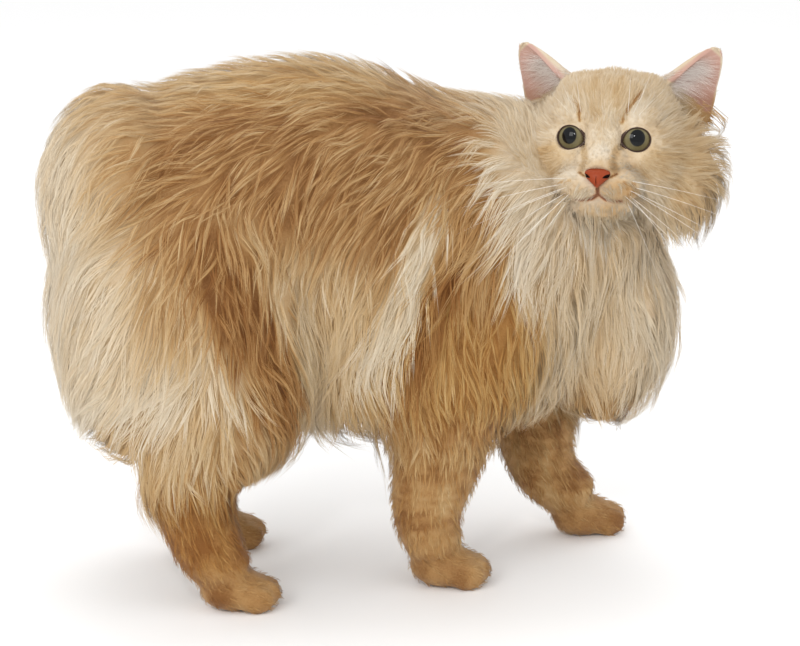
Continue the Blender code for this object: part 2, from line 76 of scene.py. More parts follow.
def blend(start, end, value):
    t = np.clip((value - start) / (end - start), 0, 1)
    return t * t * (3 - 2 * t)


def unit(vectors):
    return vectors / np.maximum(np.linalg.norm(vectors, axis=-1, keepdims=True), 1e-9)


def ripple(points, size, seed=0):
    # soft value noise, -1 to 1, with cells of that size
    grid = np.asarray(points) / size + 100 + 17.3 * seed
    base = np.floor(grid).astype(np.int64)
    f = grid - base
    f = f * f * (3 - 2 * f)
    total = 0
    for dx in (0, 1):
        for dy in (0, 1):
            for dz in (0, 1):
                corner = base + (dx, dy, dz)
                h = corner[:, 0] * 374761393 + corner[:, 1] * 668265263 + corner[:, 2] * 2147483647
                h = (h ^ (h >> 13)) * 1274126177
                value = ((h ^ (h >> 16)) & 65535) / 32767.5 - 1
                wx = f[:, 0] if dx else 1 - f[:, 0]
                wy = f[:, 1] if dy else 1 - f[:, 1]
                wz = f[:, 2] if dz else 1 - f[:, 2]
                total = total + value * wx * wy * wz
    return total


def moved(points, matrix):
    m = np.array(matrix)
    return np.asarray(points) @ m[:3, :3].T + m[:3, 3]


def inHead(points):
    return moved(points, headFrame.inverted())


def newObject(name, bm):
    # faces in a fixed order, so that each run gives the same coat
    bmesh.ops.recalc_face_normals(bm, faces=bm.faces)
    bm.verts.index_update()
    loops = [[v.index for v in face.verts] for face in bm.faces]
    firsts = [loop.index(min(loop)) for loop in loops]
    mesh = bpy.data.meshes.new(name)
    faces = sorted(loop[k:] + loop[:k] for loop, k in zip(loops, firsts))
    mesh.from_pydata([v.co[:] for v in bm.verts], [], faces)
    bm.free()
    made = bpy.data.objects.new(name, mesh)
    bpy.context.scene.collection.objects.link(made)
    return made


def settle(obj):
    # applies the modifiers
    graph = bpy.context.evaluated_depsgraph_get()
    graph.update()
    mesh = bpy.data.meshes.new_from_object(obj.evaluated_get(graph))
    obj.modifiers.clear()
    obj.data = mesh
    return obj


def putInPlace(obj):
    obj.data.transform(Matrix.Translation(shift) @ Matrix.Scale(cm, 4))


def dress(obj, material):
    obj.data.shade_smooth()
    obj.data.materials.clear()
    obj.data.materials.append(material)


def smoothPath(points, steps):
    rows = [Vector(p) for p in points]
    rows = [2 * rows[0] - rows[1], *rows, 2 * rows[-1] - rows[-2]]
    path = []
    for a, b, c, d in zip(rows, rows[1:], rows[2:], rows[3:]):
        for i in range(steps):
            t = i / steps
            slope, curve, twist = c - a, 2 * a - 5 * b + 4 * c - d, 3 * b - a - 3 * c + d
            path.append(0.5 * (2 * b + slope * t + curve * t**2 + twist * t**3))
    return [*path, rows[-2]]


def ball(centre, radii, where=Matrix.Identity(4), segments=32):
    bm = bmesh.new()
    place = where @ Matrix.Translation(centre) @ Matrix.Diagonal((*radii, 1))
    bmesh.ops.create_uvsphere(bm, u_segments=segments, v_segments=segments // 2, radius=1, matrix=place)
    return newObject("ball", bm)


def tube(rings, across, sides=28, closed=False):
    # rings of (centre, half width, half height up, half height down)
    bm = bmesh.new()
    loops = []
    count = len(rings)
    for i, (centre, width, up, down) in enumerate(rings):
        before = rings[(i - 1) % count if closed else max(i - 1, 0)][0]
        after = rings[(i + 1) % count if closed else min(i + 1, count - 1)][0]
        along = (after - before).normalized()
        side = (across - across.dot(along) * along).normalized()
        rise = along.cross(side)
        if not closed and (rise.z < 0 or (abs(rise.z) < 0.35 and rise.x < 0)):
            rise = -rise
        ring = bmesh.ops.create_circle(bm, segments=sides, radius=1)["verts"]
        for vert in ring:
            vert.co = centre + side * vert.co.x * width + rise * vert.co.y * (up if vert.co.y > 0 else down)
        loops.append(ring)
    if closed:
        loops.append(loops[0])
    for first, second in zip(loops, loops[1:]):
        edges = {e for v in first for e in v.link_edges if e.other_vert(v) in first}
        edges |= {e for v in second for e in v.link_edges if e.other_vert(v) in second}
        bmesh.ops.bridge_loops(bm, edges=list(edges))
    if not closed:
        for ring in (loops[0], loops[-1]):
            bmesh.ops.contextual_create(bm, geom=ring)
    return newObject("tube", bm)


def fuse(name, pieces, voxel, rounds):
    bm = bmesh.new()
    for piece in pieces:
        bm.from_mesh(piece.data)
        bpy.data.objects.remove(piece)
    whole = newObject(name, bm)
    remesh = whole.modifiers.new("fuse", "REMESH")
    remesh.mode = "VOXEL"
    remesh.voxel_size = voxel
    soften = whole.modifiers.new("soften", "SMOOTH")
    soften.factor = 0.5
    soften.iterations = rounds
    return settle(whole)


def combine(obj, operation, other):
    step = obj.modifiers.new("step", "BOOLEAN")
    step.operation = operation
    step.solver = "MANIFOLD"
    step.object = other
    settle(obj)
    bpy.data.objects.remove(other)
    return obj


# Skin: share is how much of the coat's depth it takes in, 1 being the tips

skin = {"share": 0.6, "legShare": 0.62, "headShare": 0.35, "voxel": 0.24, "headVoxel": 0.11, "pawFur": 0.05}
outline = {"share": 1.0, "legShare": 1.0, "headShare": 1.0, "voxel": 0.45, "headVoxel": 0.3, "pawFur": 0.25}

# x, top of back, underside, half width, coat above, at the sides, below
torsoStations = [
    (-15.8, 25.2, 20.4, 1.9, 2.6, 3.2, 3.4),
    (-13.6, 27.4, 17.0, 4.1, 2.2, 3.2, 4.6),
    (-9.5, 28.7, 15.0, 4.9, 1.9, 3.0, 5.0),
    (-4.0, 29.2, 13.8, 5.2, 1.9, 3.0, 5.2),
    (1.5, 27.5, 12.8, 5.4, 1.6, 3.0, 5.0),
    (6.5, 26.7, 12.2, 5.2, 1.6, 3.0, 4.8),
    (10.5, 25.3, 12.4, 4.4, 2.0, 3.2, 4.6),
    (13.0, 22.6, 13.8, 3.1, 2.8, 3.2, 4.4),
    (14.6, 19.6, 16.2, 1.3, 3.2, 3.2, 3.6),
]
feet = {
    "rightHind": (-9.3, -4.9, -8, 1.0),
    "leftHind": (-8.5, 5.6, 8, 1.0),
    "rightFore": (3.3, -3.6, -12, 1.02),
    "leftFore": (13.9, 3.6, 10, 1.02),
}


def limb(stations, settings, steps=5, share=None):
    rings = []
    for x, y, z, wide, deep, coat in smoothPath(stations, steps):
        longHair = float(blend(8.0, 12.0, z))
        mixed = settings["legShare"] * (1 - longHair) + settings["share"] * longHair
        add = coat * (mixed if share is None else share)
        rings.append((Vector((x, y, z)), wide + add, deep + add, deep + add))
    return tube(rings, Vector((0, 1, 0)))


def bodyForms(settings):
    share = settings["share"]
    rings = []
    for x, top, bottom, wide, coatTop, coatSide, coatBottom in smoothPath(torsoStations, 4):
        half = (top - bottom) / 2
        middle = Vector((x, 0, (top + bottom) / 2))
        rings.append((middle, wide + coatSide * share, half + coatTop * share, half + coatBottom * share))
    forms = [tube(rings, Vector((0, 1, 0)), sides=36)]
    neck = [(8.0, 0.0, 19.8, 4.0, 4.8, 2.6), (10.4, -0.3, 21.6, 3.4, 4.0, 2.8)]
    neck += [(12.0, -1.0, 23.4, 3.0, 3.3, 2.8), (12.6, -1.9, 25.4, 2.8, 2.9, 2.4)]
    forms.append(limb(neck, settings))
    add = share
    forms.append(ball((11.0, -0.6, 20.0), (4.6 + add, 5.0 + add, 5.2 + add)))
    forms.append(ball((13.2, -0.8, 15.5), (3.6 + add, 4.2 + add, 5.8 + add)))
    add = 1.4 * share
    forms.append(ball((-14.5, 0, 23.4), (3.6 + add, 5.2 + add, 4.9 + add)))
    for side in (-1, 1):
        forms.append(ball((-13.5, 2.4 * side, 16.9), (4.2 + add, 4.6 + add, 7.1 + add)))
        forms.append(ball((-12.6, 3.4 * side, 12.6), (3.4 + add, 3.0 + add, 3.6 + add)))
    # legs: x, y, z, half width, half depth, coat
    for side, footX, footY in ((-1, -9.3, 4.9), (1, -8.5, 5.6)):
        y = footY * side
        hind = [
            (-10.5, 3.2 * side, 22.5, 2.2, 4.0, 2.4),
            (-10.6, 4.0 * side, 18.5, 2.6, 4.9, 2.7),
            (-10.3, 4.7 * side, 14.5, 2.4, 4.2, 2.6),
            (-10.8, y, 11.0, 1.9, 3.1, 2.2),
            (footX - 2.55, y, 8.0, 1.3, 1.85, 1.4),
            (footX - 2.25, y, 5.6, 1.15, 1.6, 0.8),
            (footX - 1.3, y, 3.2, 1.15, 1.45, 0.7),
            (footX - 0.2, y, 1.9, 1.1, 1.1, 0.5),
        ]
        forms.append(limb(hind, settings))
    for side, elbowX, wristX, footX in ((-1, 3.5, 2.0, 3.1), (1, 9.8, 11.0, 13.8)):
        y = 3.6 * side
        fore = [
            (8.0, 3.4 * side, 19.5, 2.0, 3.2, 2.4),
            ((8.0 + elbowX) / 2, 4.0 * side, 15.5, 2.0, 2.9, 2.2),
            (elbowX, 4.0 * side, 12.0, 1.7, 2.6, 1.7),
            ((elbowX + wristX) / 2, (y + 4.0 * side) / 2, 8.2, 1.4, 2.0, 1.2),
            (wristX + 0.1, y, 4.6, 1.2, 1.5, 0.9),
            (footX - 0.5, y, 2.2, 1.2, 1.3, 0.5),
        ]
        forms.append(limb(fore, settings))
    return forms


def pawForms(footX, footY, turn, grow, settings):
    turned = Matrix.Rotation(math.radians(turn), 4, "Z") @ Matrix.Scale(grow, 4)
    where = Matrix.Translation((footX, footY, 0)) @ turned
    fur = settings["pawFur"]
    forms = [ball((-0.2, 0, 1.15), (1.9 + fur, 1.55 + fur, 1.2 + fur), where)]
    for k in range(4):
        spread = (k - 1.5) / 1.5
        toe = (1.55 - 0.45 * spread**2, 1.12 * spread, 0.92 - 0.12 * spread**2)
        forms.append(ball(toe, (1.0 + fur, 0.52 + fur * 0.5, 0.82 + fur), where, segments=20))
    return forms


# Head forms: centre, radii, coat
headForms = {
    "cranium": ((-0.6, 0, 0.35), (3.9, 3.5, 2.7), 0.6),
    "forehead": ((1.5, 0, 1.1), (1.9, 2.6, 1.8), 0.4),
    "jaw": ((1.4, 0, -3.4), (2.6, 2.1, 1.2), 0.5),
    "crown": ((-0.8, 1.75, 1.5), (2.0, 1.4, 1.5), 0.4),
    "noseSide": ((3.45, 0.88, -1.75), (1.0, 0.62, 0.75), 0.12),
    "chin": ((3.1, 0, -4.2), (1.1, 1.75, 0.72), 0.2),
    "cheek": ((0.7, 2.1, -1.6), (2.5, 1.9, 2.4), 1.1),
    "ruff": ((-0.6, 3.2, -2.45), (2.2, 2.15, 2.45), 1.6),
    "brow": ((2.3, 1.7, 0.7), (1.0, 1.25, 0.7), 0.25),
    "underEye": ((2.5, 2.1, -1.6), (1.3, 1.1, 0.9), 0.3),
    "whiskerPad": ((3.95, 1.05, -3.0), (1.25, 1.3, 0.86), 0.18),
}
bridge = [
    (2.2, 0, 0.8, 1.0, 1.0, 0.2),
    (3.3, 0, -0.4, 0.95, 0.9, 0.15),
    (4.3, 0, -1.5, 0.82, 0.75, 0.1),
    (5.0, 0, -2.25, 0.72, 0.6, 0.0),
]
ears = {
    "base": (-2.2, 3.6, 2.0),
    "lean": 40.0,
    "turn": 30.0,
    "wall": 0.15,
    # height over the base line, slide along it, half width, half depth
    "stations": [
        (-1.3, 0.35, 2.05, 1.25),
        (-0.2, 0.29, 2.05, 1.2),
        (0.6, 0.19, 1.74, 1.05),
        (1.4, 0.05, 1.38, 0.82),
        (2.2, -0.06, 1.05, 0.56),
        (2.8, -0.17, 0.76, 0.34),
        (3.2, -0.3, 0.48, 0.2),
        (3.38, -0.4, 0.24, 0.12),
    ],
}
nose = {"place": (5.08, 0.0, -2.58), "size": (0.55, 0.9, 0.54)}
mouthLine = [(0.0, -3.1), (0.0, -3.5), (0.35, -3.76), (0.8, -3.86), (1.35, -3.84)]


def headShapes(settings):
    share = settings["headShare"]
    forms = []
    for (x, y, z), radii, coat in headForms.values():
        for side in (-1, 1) if y else (1,):
            forms.append(ball((x, y * side, z), [r + coat * share for r in radii]))
    forms.append(limb(bridge, settings, share=share))
    return forms


def earFrame(side):
    x, y, z = ears["base"]
    lean = Matrix.Rotation(math.radians(-ears["lean"] * side), 4, "X")
    turn = Matrix.Rotation(math.radians(ears["turn"] * side), 4, "Z")
    return Matrix.Translation((x, y * side, z)) @ lean @ turn


def earLoft(side, thinner, forward, deeper, steps=5):
    rings = []
    for height, slide, wide, deep in smoothPath(ears["stations"], steps):
        thick = max(deep * deeper - thinner, 0.04)
        rings.append((Vector((forward * deep, slide * side, height)), max(wide - thinner, 0.04), thick, thick))
    loft = tube(rings, Vector((0, 1, 0)), sides=32)
    loft.data.transform(earFrame(side))
    return loft


def lidOpening(side, grow=0.0):
    wide, high = eye["opening"][0] + grow, eye["opening"][1] + grow
    bm = bmesh.new()
    ring = bmesh.ops.create_circle(bm, segments=48, radius=1, cap_ends=True)["verts"]
    for vert in ring:
        across, up = vert.co.x, vert.co.y
        corner = max(0.0, -across * side) ** 6
        vert.co = Vector((0, across * wide * (1 + 0.12 * corner), up * high - 0.1 * corner))
    made = bmesh.ops.extrude_face_region(bm, geom=bm.faces[:])["geom"]
    front = [g for g in made if isinstance(g, bmesh.types.BMVert)]
    bmesh.ops.translate(bm, vec=Vector((2.5, 0, 0)), verts=front)
    prism = newObject("lidOpening", bm)
    prism.data.transform(eyeFrame(side))
    return prism


def noseShape(grow, segments):
    depth, wide, high = (size + grow for size in nose["size"])
    bm = bmesh.new()
    bmesh.ops.create_uvsphere(bm, u_segments=segments, v_segments=segments // 2, radius=1)
    for vert in bm.verts:
        x, y, z = vert.co
        taper = max(0.58 + 0.42 * z, 0.16) * 1.15  # narrow below, wide above
        vert.co = Vector((x * depth, y * wide * taper, z * high))
    pad = newObject("nose", bm)
    pad.data.transform(Matrix.Translation(nose["place"]))
    return pad


def mouthGroove(surface, side):
    tree = BVHTree.FromObject(surface, bpy.context.evaluated_depsgraph_get())
    rings = []
    for y, z in smoothPath(mouthLine, 4):
        hit = tree.ray_cast(Vector((9, (y + 0.02) * side, z)), Vector((-1, 0, 0)))[0]
        rings.append((hit, 0.07, 0.07, 0.07))
    return tube(rings, Vector((1, 0, 0)), sides=8)


def bodyAndPaws(settings):
    return bodyForms(settings) + sum((pawForms(*foot, settings) for foot in feet.values()), [])


def makeSkin():
    body = fuse("skin", bodyAndPaws(skin), skin["voxel"], 5)
    face = fuse("face", headShapes(skin), skin["headVoxel"], 4)
    cutters = [noseShape(-0.03, 24), mouthGroove(face, -1), mouthGroove(face, 1)]
    for side in (-1, 1):
        shell = combine(earLoft(side, 0.0, 0.0, 1.0), "DIFFERENCE", earLoft(side, ears["wall"], 0.85, 1.15))
        combine(face, "UNION", shell)
        combine(face, "UNION", ball((0, 0, 0), (eye["radius"] + eye["lid"],) * 3, eyeFrame(side), 48))
    for piece in (face, *cutters):
        piece.data.transform(headFrame)
    combine(body, "UNION", face)
    for side in (-1, 1):
        for cutter in (ball((0, 0, 0), (eye["radius"] + 0.01,) * 3, eyeFrame(side), 48), lidOpening(side)):
            cutter.data.transform(headFrame)
            combine(body, "DIFFERENCE", cutter)
    for cutter in cutters:
        combine(body, "DIFFERENCE", cutter)
    bm = bmesh.new()
    bmesh.ops.create_cube(bm, size=80, matrix=Matrix.Translation((0, 0, 40)))
    return combine(body, "INTERSECT", newObject("aboveFloor", bm))


def surfaceOf(obj):
    # a search tree over a mesh, with smooth normals for its faces
    mesh = obj.data
    points = np.empty(len(mesh.vertices) * 3)
    mesh.vertices.foreach_get("co", points)
    normals = np.empty(len(mesh.vertices) * 3)
    mesh.vertices.foreach_get("normal", normals)
    points, normals = points.reshape(-1, 3), normals.reshape(-1, 3)
    mesh.calc_loop_triangles()
    triangles = np.empty(len(mesh.loop_triangles) * 3, np.int32)
    mesh.loop_triangles.foreach_get("vertices", triangles)
    triangles = triangles.reshape(-1, 3)
    return {
        "tree": BVHTree.FromPolygons(points.tolist(), triangles.tolist()),
        "points": points,
        "vertexNormals": normals,
        "triangles": triangles,
        "normals": unit(normals[triangles].sum(1)),
    }


def nearest(surface, points):
    find = surface["tree"].find_nearest
    found = [find(p) for p in points.tolist()]
    places = np.array([f[0] for f in found])
    index = np.array([f[2] for f in found])
    return places, surface["normals"][index], index


body = makeSkin()
body.name = "skin"
skinSurface = surfaceOf(body)
print("skin", len(skinSurface["triangles"]), "triangles")
shell = fuse("outline", bodyAndPaws(outline), outline["voxel"], 4)
shellHead = fuse("outlineHead", headShapes(outline), outline["headVoxel"], 3)
shellHead.data.transform(headFrame)
combine(shell, "UNION", shellHead)
shellSurface = surfaceOf(shell)
bpy.data.objects.remove(shell)
print("outline", len(shellSurface["triangles"]), "triangles")

# Combing: at x and z on the side of the body, the way the hair runs in x and z, and its length
combing = {
    "nape": (3.6, 27.4, -0.98, -0.21, 3.2),
    "withers": (-1.7, 29.4, -1.00, -0.07, 3.0),
    "spine": (-6.2, 30.1, -1.00, -0.07, 3.0),
    "croup": (-10.2, 29.0, -0.99, -0.12, 3.0),
    "tuftTop": (-14.7, 28.9, -0.92, -0.39, 4.0),
    "shoulderTop": (-1.4, 26.4, -0.89, -0.46, 3.0),
    "backRight": (-5.8, 26.6, -0.82, -0.58, 2.8),
    "loin": (-10.1, 26.7, -0.88, -0.48, 2.8),
    "hipTop": (-13.8, 26.3, -0.88, -0.48, 3.2),
    "tuftSide": (-17.4, 26.7, -0.62, -0.78, 5.0),
    "ribsFront": (-0.5, 22.7, -0.61, -0.79, 3.0),
    "ribs": (-4.3, 22.9, -0.46, -0.89, 3.0),
    "ribsRear": (-8.2, 23.1, -0.26, -0.96, 3.2),
    "hip": (-11.4, 22.6, -0.32, -0.95, 3.0),
    "rumpSide": (-15.0, 22.6, -0.77, -0.64, 4.6),
    "rumpEdge": (-18.0, 22.1, -0.47, -0.88, 6.0),
    "swathTop": (2.9, 21.5, -0.52, -0.86, 5.0),
    "swath": (-0.5, 16.6, -0.43, -0.90, 7.5),
    "swathTip": (-3.3, 12.8, -0.25, -0.97, 7.5),
    "flankLow": (-6.0, 17.4, -0.01, -1.00, 4.4),
    "flankEdge": (-5.5, 12.9, 0.04, -1.00, 5.5),
    "thighTop": (-9.3, 18.7, 0.10, -0.99, 3.0),
    "thighRear": (-12.0, 18.9, 0.08, -1.00, 3.4),
    "thighFold": (-8.9, 14.4, 0.48, -0.88, 3.4),
    "thighFront": (-7.2, 10.7, 0.42, -0.91, 3.6),
    "breechesMid": (-12.6, 13.9, -0.86, -0.52, 6.0),
    "breechesTip": (-15.9, 11.5, -0.91, -0.41, 6.0),
    "breechesTop": (-16.1, 16.9, -0.62, -0.79, 6.0),
    "breechesEdge": (-18.7, 16.3, -0.22, -0.97, 6.5),
    "stifle": (-10.8, 11.0, 0.03, -1.00, 4.0),
    "kneeFront": (-9.2, 9.1, 0.37, -0.93, 3.0),
    "cheekBack": (5.1, 25.8, -0.88, -0.48, 4.0),
    "neckSide": (5.1, 22.0, -0.45, -0.89, 4.6),
    "upperArm": (3.5, 16.4, -0.11, -0.99, 2.6),
    "armFront": (6.3, 16.2, 0.06, -1.00, 2.8),
    "breast": (8.9, 17.6, 0.12, -0.99, 4.8),
    "bib": (13.4, 16.7, 0.13, -0.99, 6.5),
    "bibEdge": (16.9, 14.0, 0.24, -0.97, 6.5),
    "elbow": (2.3, 10.1, 0.01, -1.00, 1.5),
    "forearm": (2.6, 5.5, 0.05, -1.00, 0.8),
    "hock": (-12.0, 5.6, 0.31, -0.95, 1.0),
    "pastern": (-9.7, 2.3, 0.55, -0.83, 0.6),
    "farArm": (12.0, 4.4, 0.45, -0.90, 0.9),
}
combRows = np.array(list(combing.values()))


def combBody(points, normals):
    # direction of the hair and its length
    away = points[:, None, [0, 2]] - combRows[None, :, :2]
    weight = np.exp(-(away**2).sum(2) / (2 * 1.9**2)) + 1e-9
    weight /= weight.sum(1, keepdims=True)
    mixed = weight @ combRows[:, 2:]
    side = np.sign(points[:, 1])
    lie = np.stack([mixed[:, 0], 0.25 * side * np.clip(normals[:, 2], 0, 1), mixed[:, 1]], 1)
    fromHead = points - np.array(head["centre"])
    distance = np.linalg.norm(fromHead, axis=1)
    near = (0.75 * blend(13, 7.5, distance))[:, None]
    lie = unit(lie) * (1 - near) + unit(fromHead) * near
    toes = blend(3.0, 1.6, points[:, 2])[:, None]
    lie = lie * (1 - toes) + np.array([0.9, 0, -0.35]) * toes
    lie = lie - normals * (lie * normals).sum(1, keepdims=True)
    hang = (0.1 + 0.6 * blend(0.0, -0.7, normals[:, 2]) * blend(9, 11, points[:, 2]))[:, None]
    lie = unit(lie) * (1 - hang) + np.array([0, 0, -1.0]) * hang
    length = mixed[:, 2] * (1 - toes[:, 0]) + 0.55 * toes[:, 0]
    return unit(lie), length


def combHead(points, normals):
    local, turned = inHead(points), normals @ np.array(headFrame)[:3, :3]
    away = unit(local - np.array([6.0, 0, -2.3]))
    lie = away + np.array([0, 0, -0.3]) * blend(0.5, -1.5, local[:, 2])[:, None]
    nearEye = np.full(len(local), 9.0)
    for side in (-1, 1):
        x, y, z = eye["place"]
        fromEye = local - np.array([x, y * side, z])
        fromEye[:, 0] = 0
        reach = np.linalg.norm(fromEye, axis=1)
        nearEye = np.minimum(nearEye, reach)
        close = blend(1.9, 0.9, reach)[:, None] * (local[:, 0] > 0)[:, None]
        lie = lie * (1 - close) + unit(fromEye) * close
    # sideways above the mouth and down below it, so that the line stays clear
    close = (blend(0.9, 0.3, mouthDistance(local)) * (local[:, 0] > 1.5))[:, None]
    line = np.interp(np.abs(local[:, 1]), [0.0, 0.35, 1.35], [-3.5, -3.76, -3.84])
    above = (local[:, 2] > line)[:, None]
    sideways = np.tile([-0.3, 1.0, 0.15], (len(local), 1))
    sideways[local[:, 1] < 0, 1] = -1.0
    lie = lie * (1 - close) + close * np.where(above, sideways, np.array([-0.2, 0, -1.0]))
    lie = lie - turned * (lie * turned).sum(1, keepdims=True)
    fromNose = np.linalg.norm(local - np.array([5.0, 0, -2.6]), axis=1)
    length = 0.35 + 0.75 * blend(1.0, 5.0, fromNose)
    short = np.minimum(blend(0.7, 1.7, nearEye), blend(0.1, 0.7, mouthDistance(local)))
    length = np.where(local[:, 0] > 1, length * (0.4 + 0.6 * short), length)
    ruff = blend(3.0, 4.6, np.abs(local[:, 1])) * blend(2.0, 0.2, local[:, 2]) * blend(2.6, 1.0, local[:, 0])
    throat = blend(-5.0, -5.8, local[:, 2])
    behind = blend(-1.5, -3.5, local[:, 0])
    length = length + 2.2 * np.maximum(np.maximum(ruff, throat), behind)
    length = np.where(earPart(points, normals) > 0, 0.45, length)
    return unit(unit(lie) @ np.array(headFrame)[:3, :3].T), length


def inHeadShare(points):
    x, y, z = inHead(points).T
    reach = np.sqrt(((x - 0.8) / 5.2) ** 2 + (y / 6.4) ** 2 + ((z + 0.2) / 5.4) ** 2)
    ear = blend(1.8, 2.4, z) * (np.abs(y) < 8) * (np.abs(x) < 4.5)
    return np.maximum(blend(1.06, 0.94, reach), ear)


def comb(points, normals):
    lie, length = combBody(points, normals)
    share = inHeadShare(points)
    swirl = 0.36 * ripple(points, 2.8, 7) + 0.34 * ripple(points, 1.1, 8)
    swirl = swirl * (1 - 0.7 * share) * blend(3, 10, points[:, 2])
    lie = lie * np.cos(swirl)[:, None] + np.cross(normals, lie) * np.sin(swirl)[:, None]
    some = share > 0
    if some.any():
        headLie, headLength = combHead(points[some], normals[some])
        part = share[some][:, None]
        lie[some] = unit(lie[some] * (1 - part) + headLie * part)
        length[some] = length[some] * (1 - part[:, 0]) + headLength * part[:, 0]
    return lie, length


# Markings: tone runs from 0, cream, to 1, brown; gold turns it warmer.
# Patches: x, z, half sizes, turn in degrees, tone, gold, strength
patches = {
    "saddle": (-5.0, 25.0, 11.5, 4.6, 4, 0.77, 0.38, 1.0),
    "flank": (-4.8, 16.0, 3.4, 6.0, 0, 0.35, 0.40, 0.8),
    "hipLight": (-9.5, 21.2, 3.0, 2.2, 0, 0.50, 0.40, 0.7),
    "thigh": (-8.8, 16.8, 1.8, 6.6, 21, 0.95, 0.50, 1.0),
    "rumpEdge": (-19.0, 20.0, 4.6, 12.0, 0, 0.14, 0.25, 1.0),
    "breeches": (-14.6, 12.6, 5.6, 3.4, 24, 0.10, 0.25, 1.0),
    "breechesTip": (-15.6, 10.2, 3.6, 1.9, 24, 0.52, 0.45, 0.9),
    "breechesInner": (-11.2, 10.6, 1.9, 3.4, 0, 0.44, 0.50, 0.9),
    "shoulder": (3.7, 14.4, 4.9, 6.8, 0, 0.67, 1.0, 1.0),
    "neck": (8.6, 23.4, 3.6, 5.4, 0, 0.06, 0.12, 1.0),
    "shoulderBlade": (3.6, 22.6, 2.2, 4.6, 14, 0.72, 0.5, 0.9),
    "bib": (14.0, 16.0, 6.2, 9.0, 0, 0.27, 0.30, 1.0),
    "bibPale": (14.8, 17.0, 2.0, 6.5, 0, 0.08, 0.15, 0.7),
}
swath = {"from": (1.9, 23.0), "to": (-3.3, 10.4), "wide": (0.8, 1.5), "tone": 0.06, "gold": 0.42}
# a dark line along the swath's right edge: painted shade beside the swath's pale locks
swathShadeLine = {"from": (3.0, 20.6), "to": (-0.9, 11.0), "wide": (0.5, 0.8), "tone": 0.95, "gold": 0.7}


def alongBand(x, z, band):
    (ax, az), (bx, bz) = band["from"], band["to"]
    dx, dz = bx - ax, bz - az
    t = ((x - ax) * dx + (z - az) * dz) / (dx * dx + dz * dz)
    inside = np.clip(t, 0, 1)
    away = np.hypot(x - ax - dx * inside, z - az - dz * inside)
    wide = band["wide"][0] + (band["wide"][1] - band["wide"][0]) * inside
    return blend(1.25, 0.75, away / wide)


def bodyMarks(points, normals):
    x, y, z = points.T
    wobble = ripple(points, 2.2, 1) * 0.6
    tone, gold = np.full(len(x), 0.5), np.full(len(x), 0.35)

    def lay(mask, newTone, newGold):
        nonlocal tone, gold
        tone, gold = tone + (newTone - tone) * mask, gold + (newGold - gold) * mask

    for cx, cz, rx, rz, turn, newTone, newGold, strength in patches.values():
        c, s = math.cos(math.radians(turn)), math.sin(math.radians(turn))
        u, v = ((x - cx) * c + (z - cz) * s) / rx, (-(x - cx) * s + (z - cz) * c) / rz
        lay(strength * blend(1.25, 0.7, np.hypot(u, v) + wobble * 0.25), newTone, newGold)
    lay(0.85 * blend(27.8, 29.6, z + wobble * 0.5), 0.41, 0.8)
    # painted shade along the swath's right edge
    lay(alongBand(x + wobble * 0.4, z, swathShadeLine), swathShadeLine["tone"], swathShadeLine["gold"])
    lower = blend(17, 12, z)
    lay(alongBand(x + wobble * 0.3, z, swath), swath["tone"] + 0.72 * lower, swath["gold"] + 0.5 * lower)
    under = blend(-0.45, -0.85, normals[:, 2]) * blend(6, 9, z)
    lay(under, 0.2, 0.2)
    fore, hind = (x > -3) * blend(12.5, 9.5, z), (x < -3) * blend(9.5, 7.5, z)
    lay(fore, 0.64, 0.6)
    lay(hind, 0.86, 0.95)
    bands = blend(0.15, 0.8, np.sin(z * 1.9 + wobble * 2.2)) * (fore + hind * 0.6) * blend(2.4, 3.4, z)
    lines = np.sin(z * 8 + ripple(points, 1.2, 6) * 4) * (fore + 0.5 * (x > -1) * blend(15, 12, z))
    tone += 0.12 * bands + 0.05 * lines * blend(2.4, 3.4, z)
    lay(0.8 * blend(3.2, 2.2, z), 0.67, 0.5)
    low = blend(12, 9, z)
    tone = tone + low * (0.14 * ripple(points * [1, 1, 0.45], 0.8, 5) + 0.12 * blend(2.8, 1.4, z))
    lay(0.4 * low * blend(1.0, 1.6, z) * blend(2.6, 2.0, z) * blend(0.3, 0.9, normals[:, 2]), 0.55, 0.4)
    tone = tone + 0.10 * ripple(points * [1, 1, 0.6], 1.1, 2) + 0.07 * ripple(points, 0.5, 3)
    return tone, gold


# dark lines of the brows, as y and z on the face
browLines = [[(1.77, 1.85), (1.23, 1.0), (1.0, 0.45)], [(-1.5, 1.4), (-1.36, 0.5)]]


def lineDistance(flat, line):
    best, line = np.full(len(flat), 9.0), np.array(line)
    for a, b in zip(line, line[1:]):
        t = np.clip(((flat - a) @ (b - a)) / ((b - a) ** 2).sum(), 0, 1)
        best = np.minimum(best, np.linalg.norm(flat - a - t[:, None] * (b - a), axis=1))
    return best


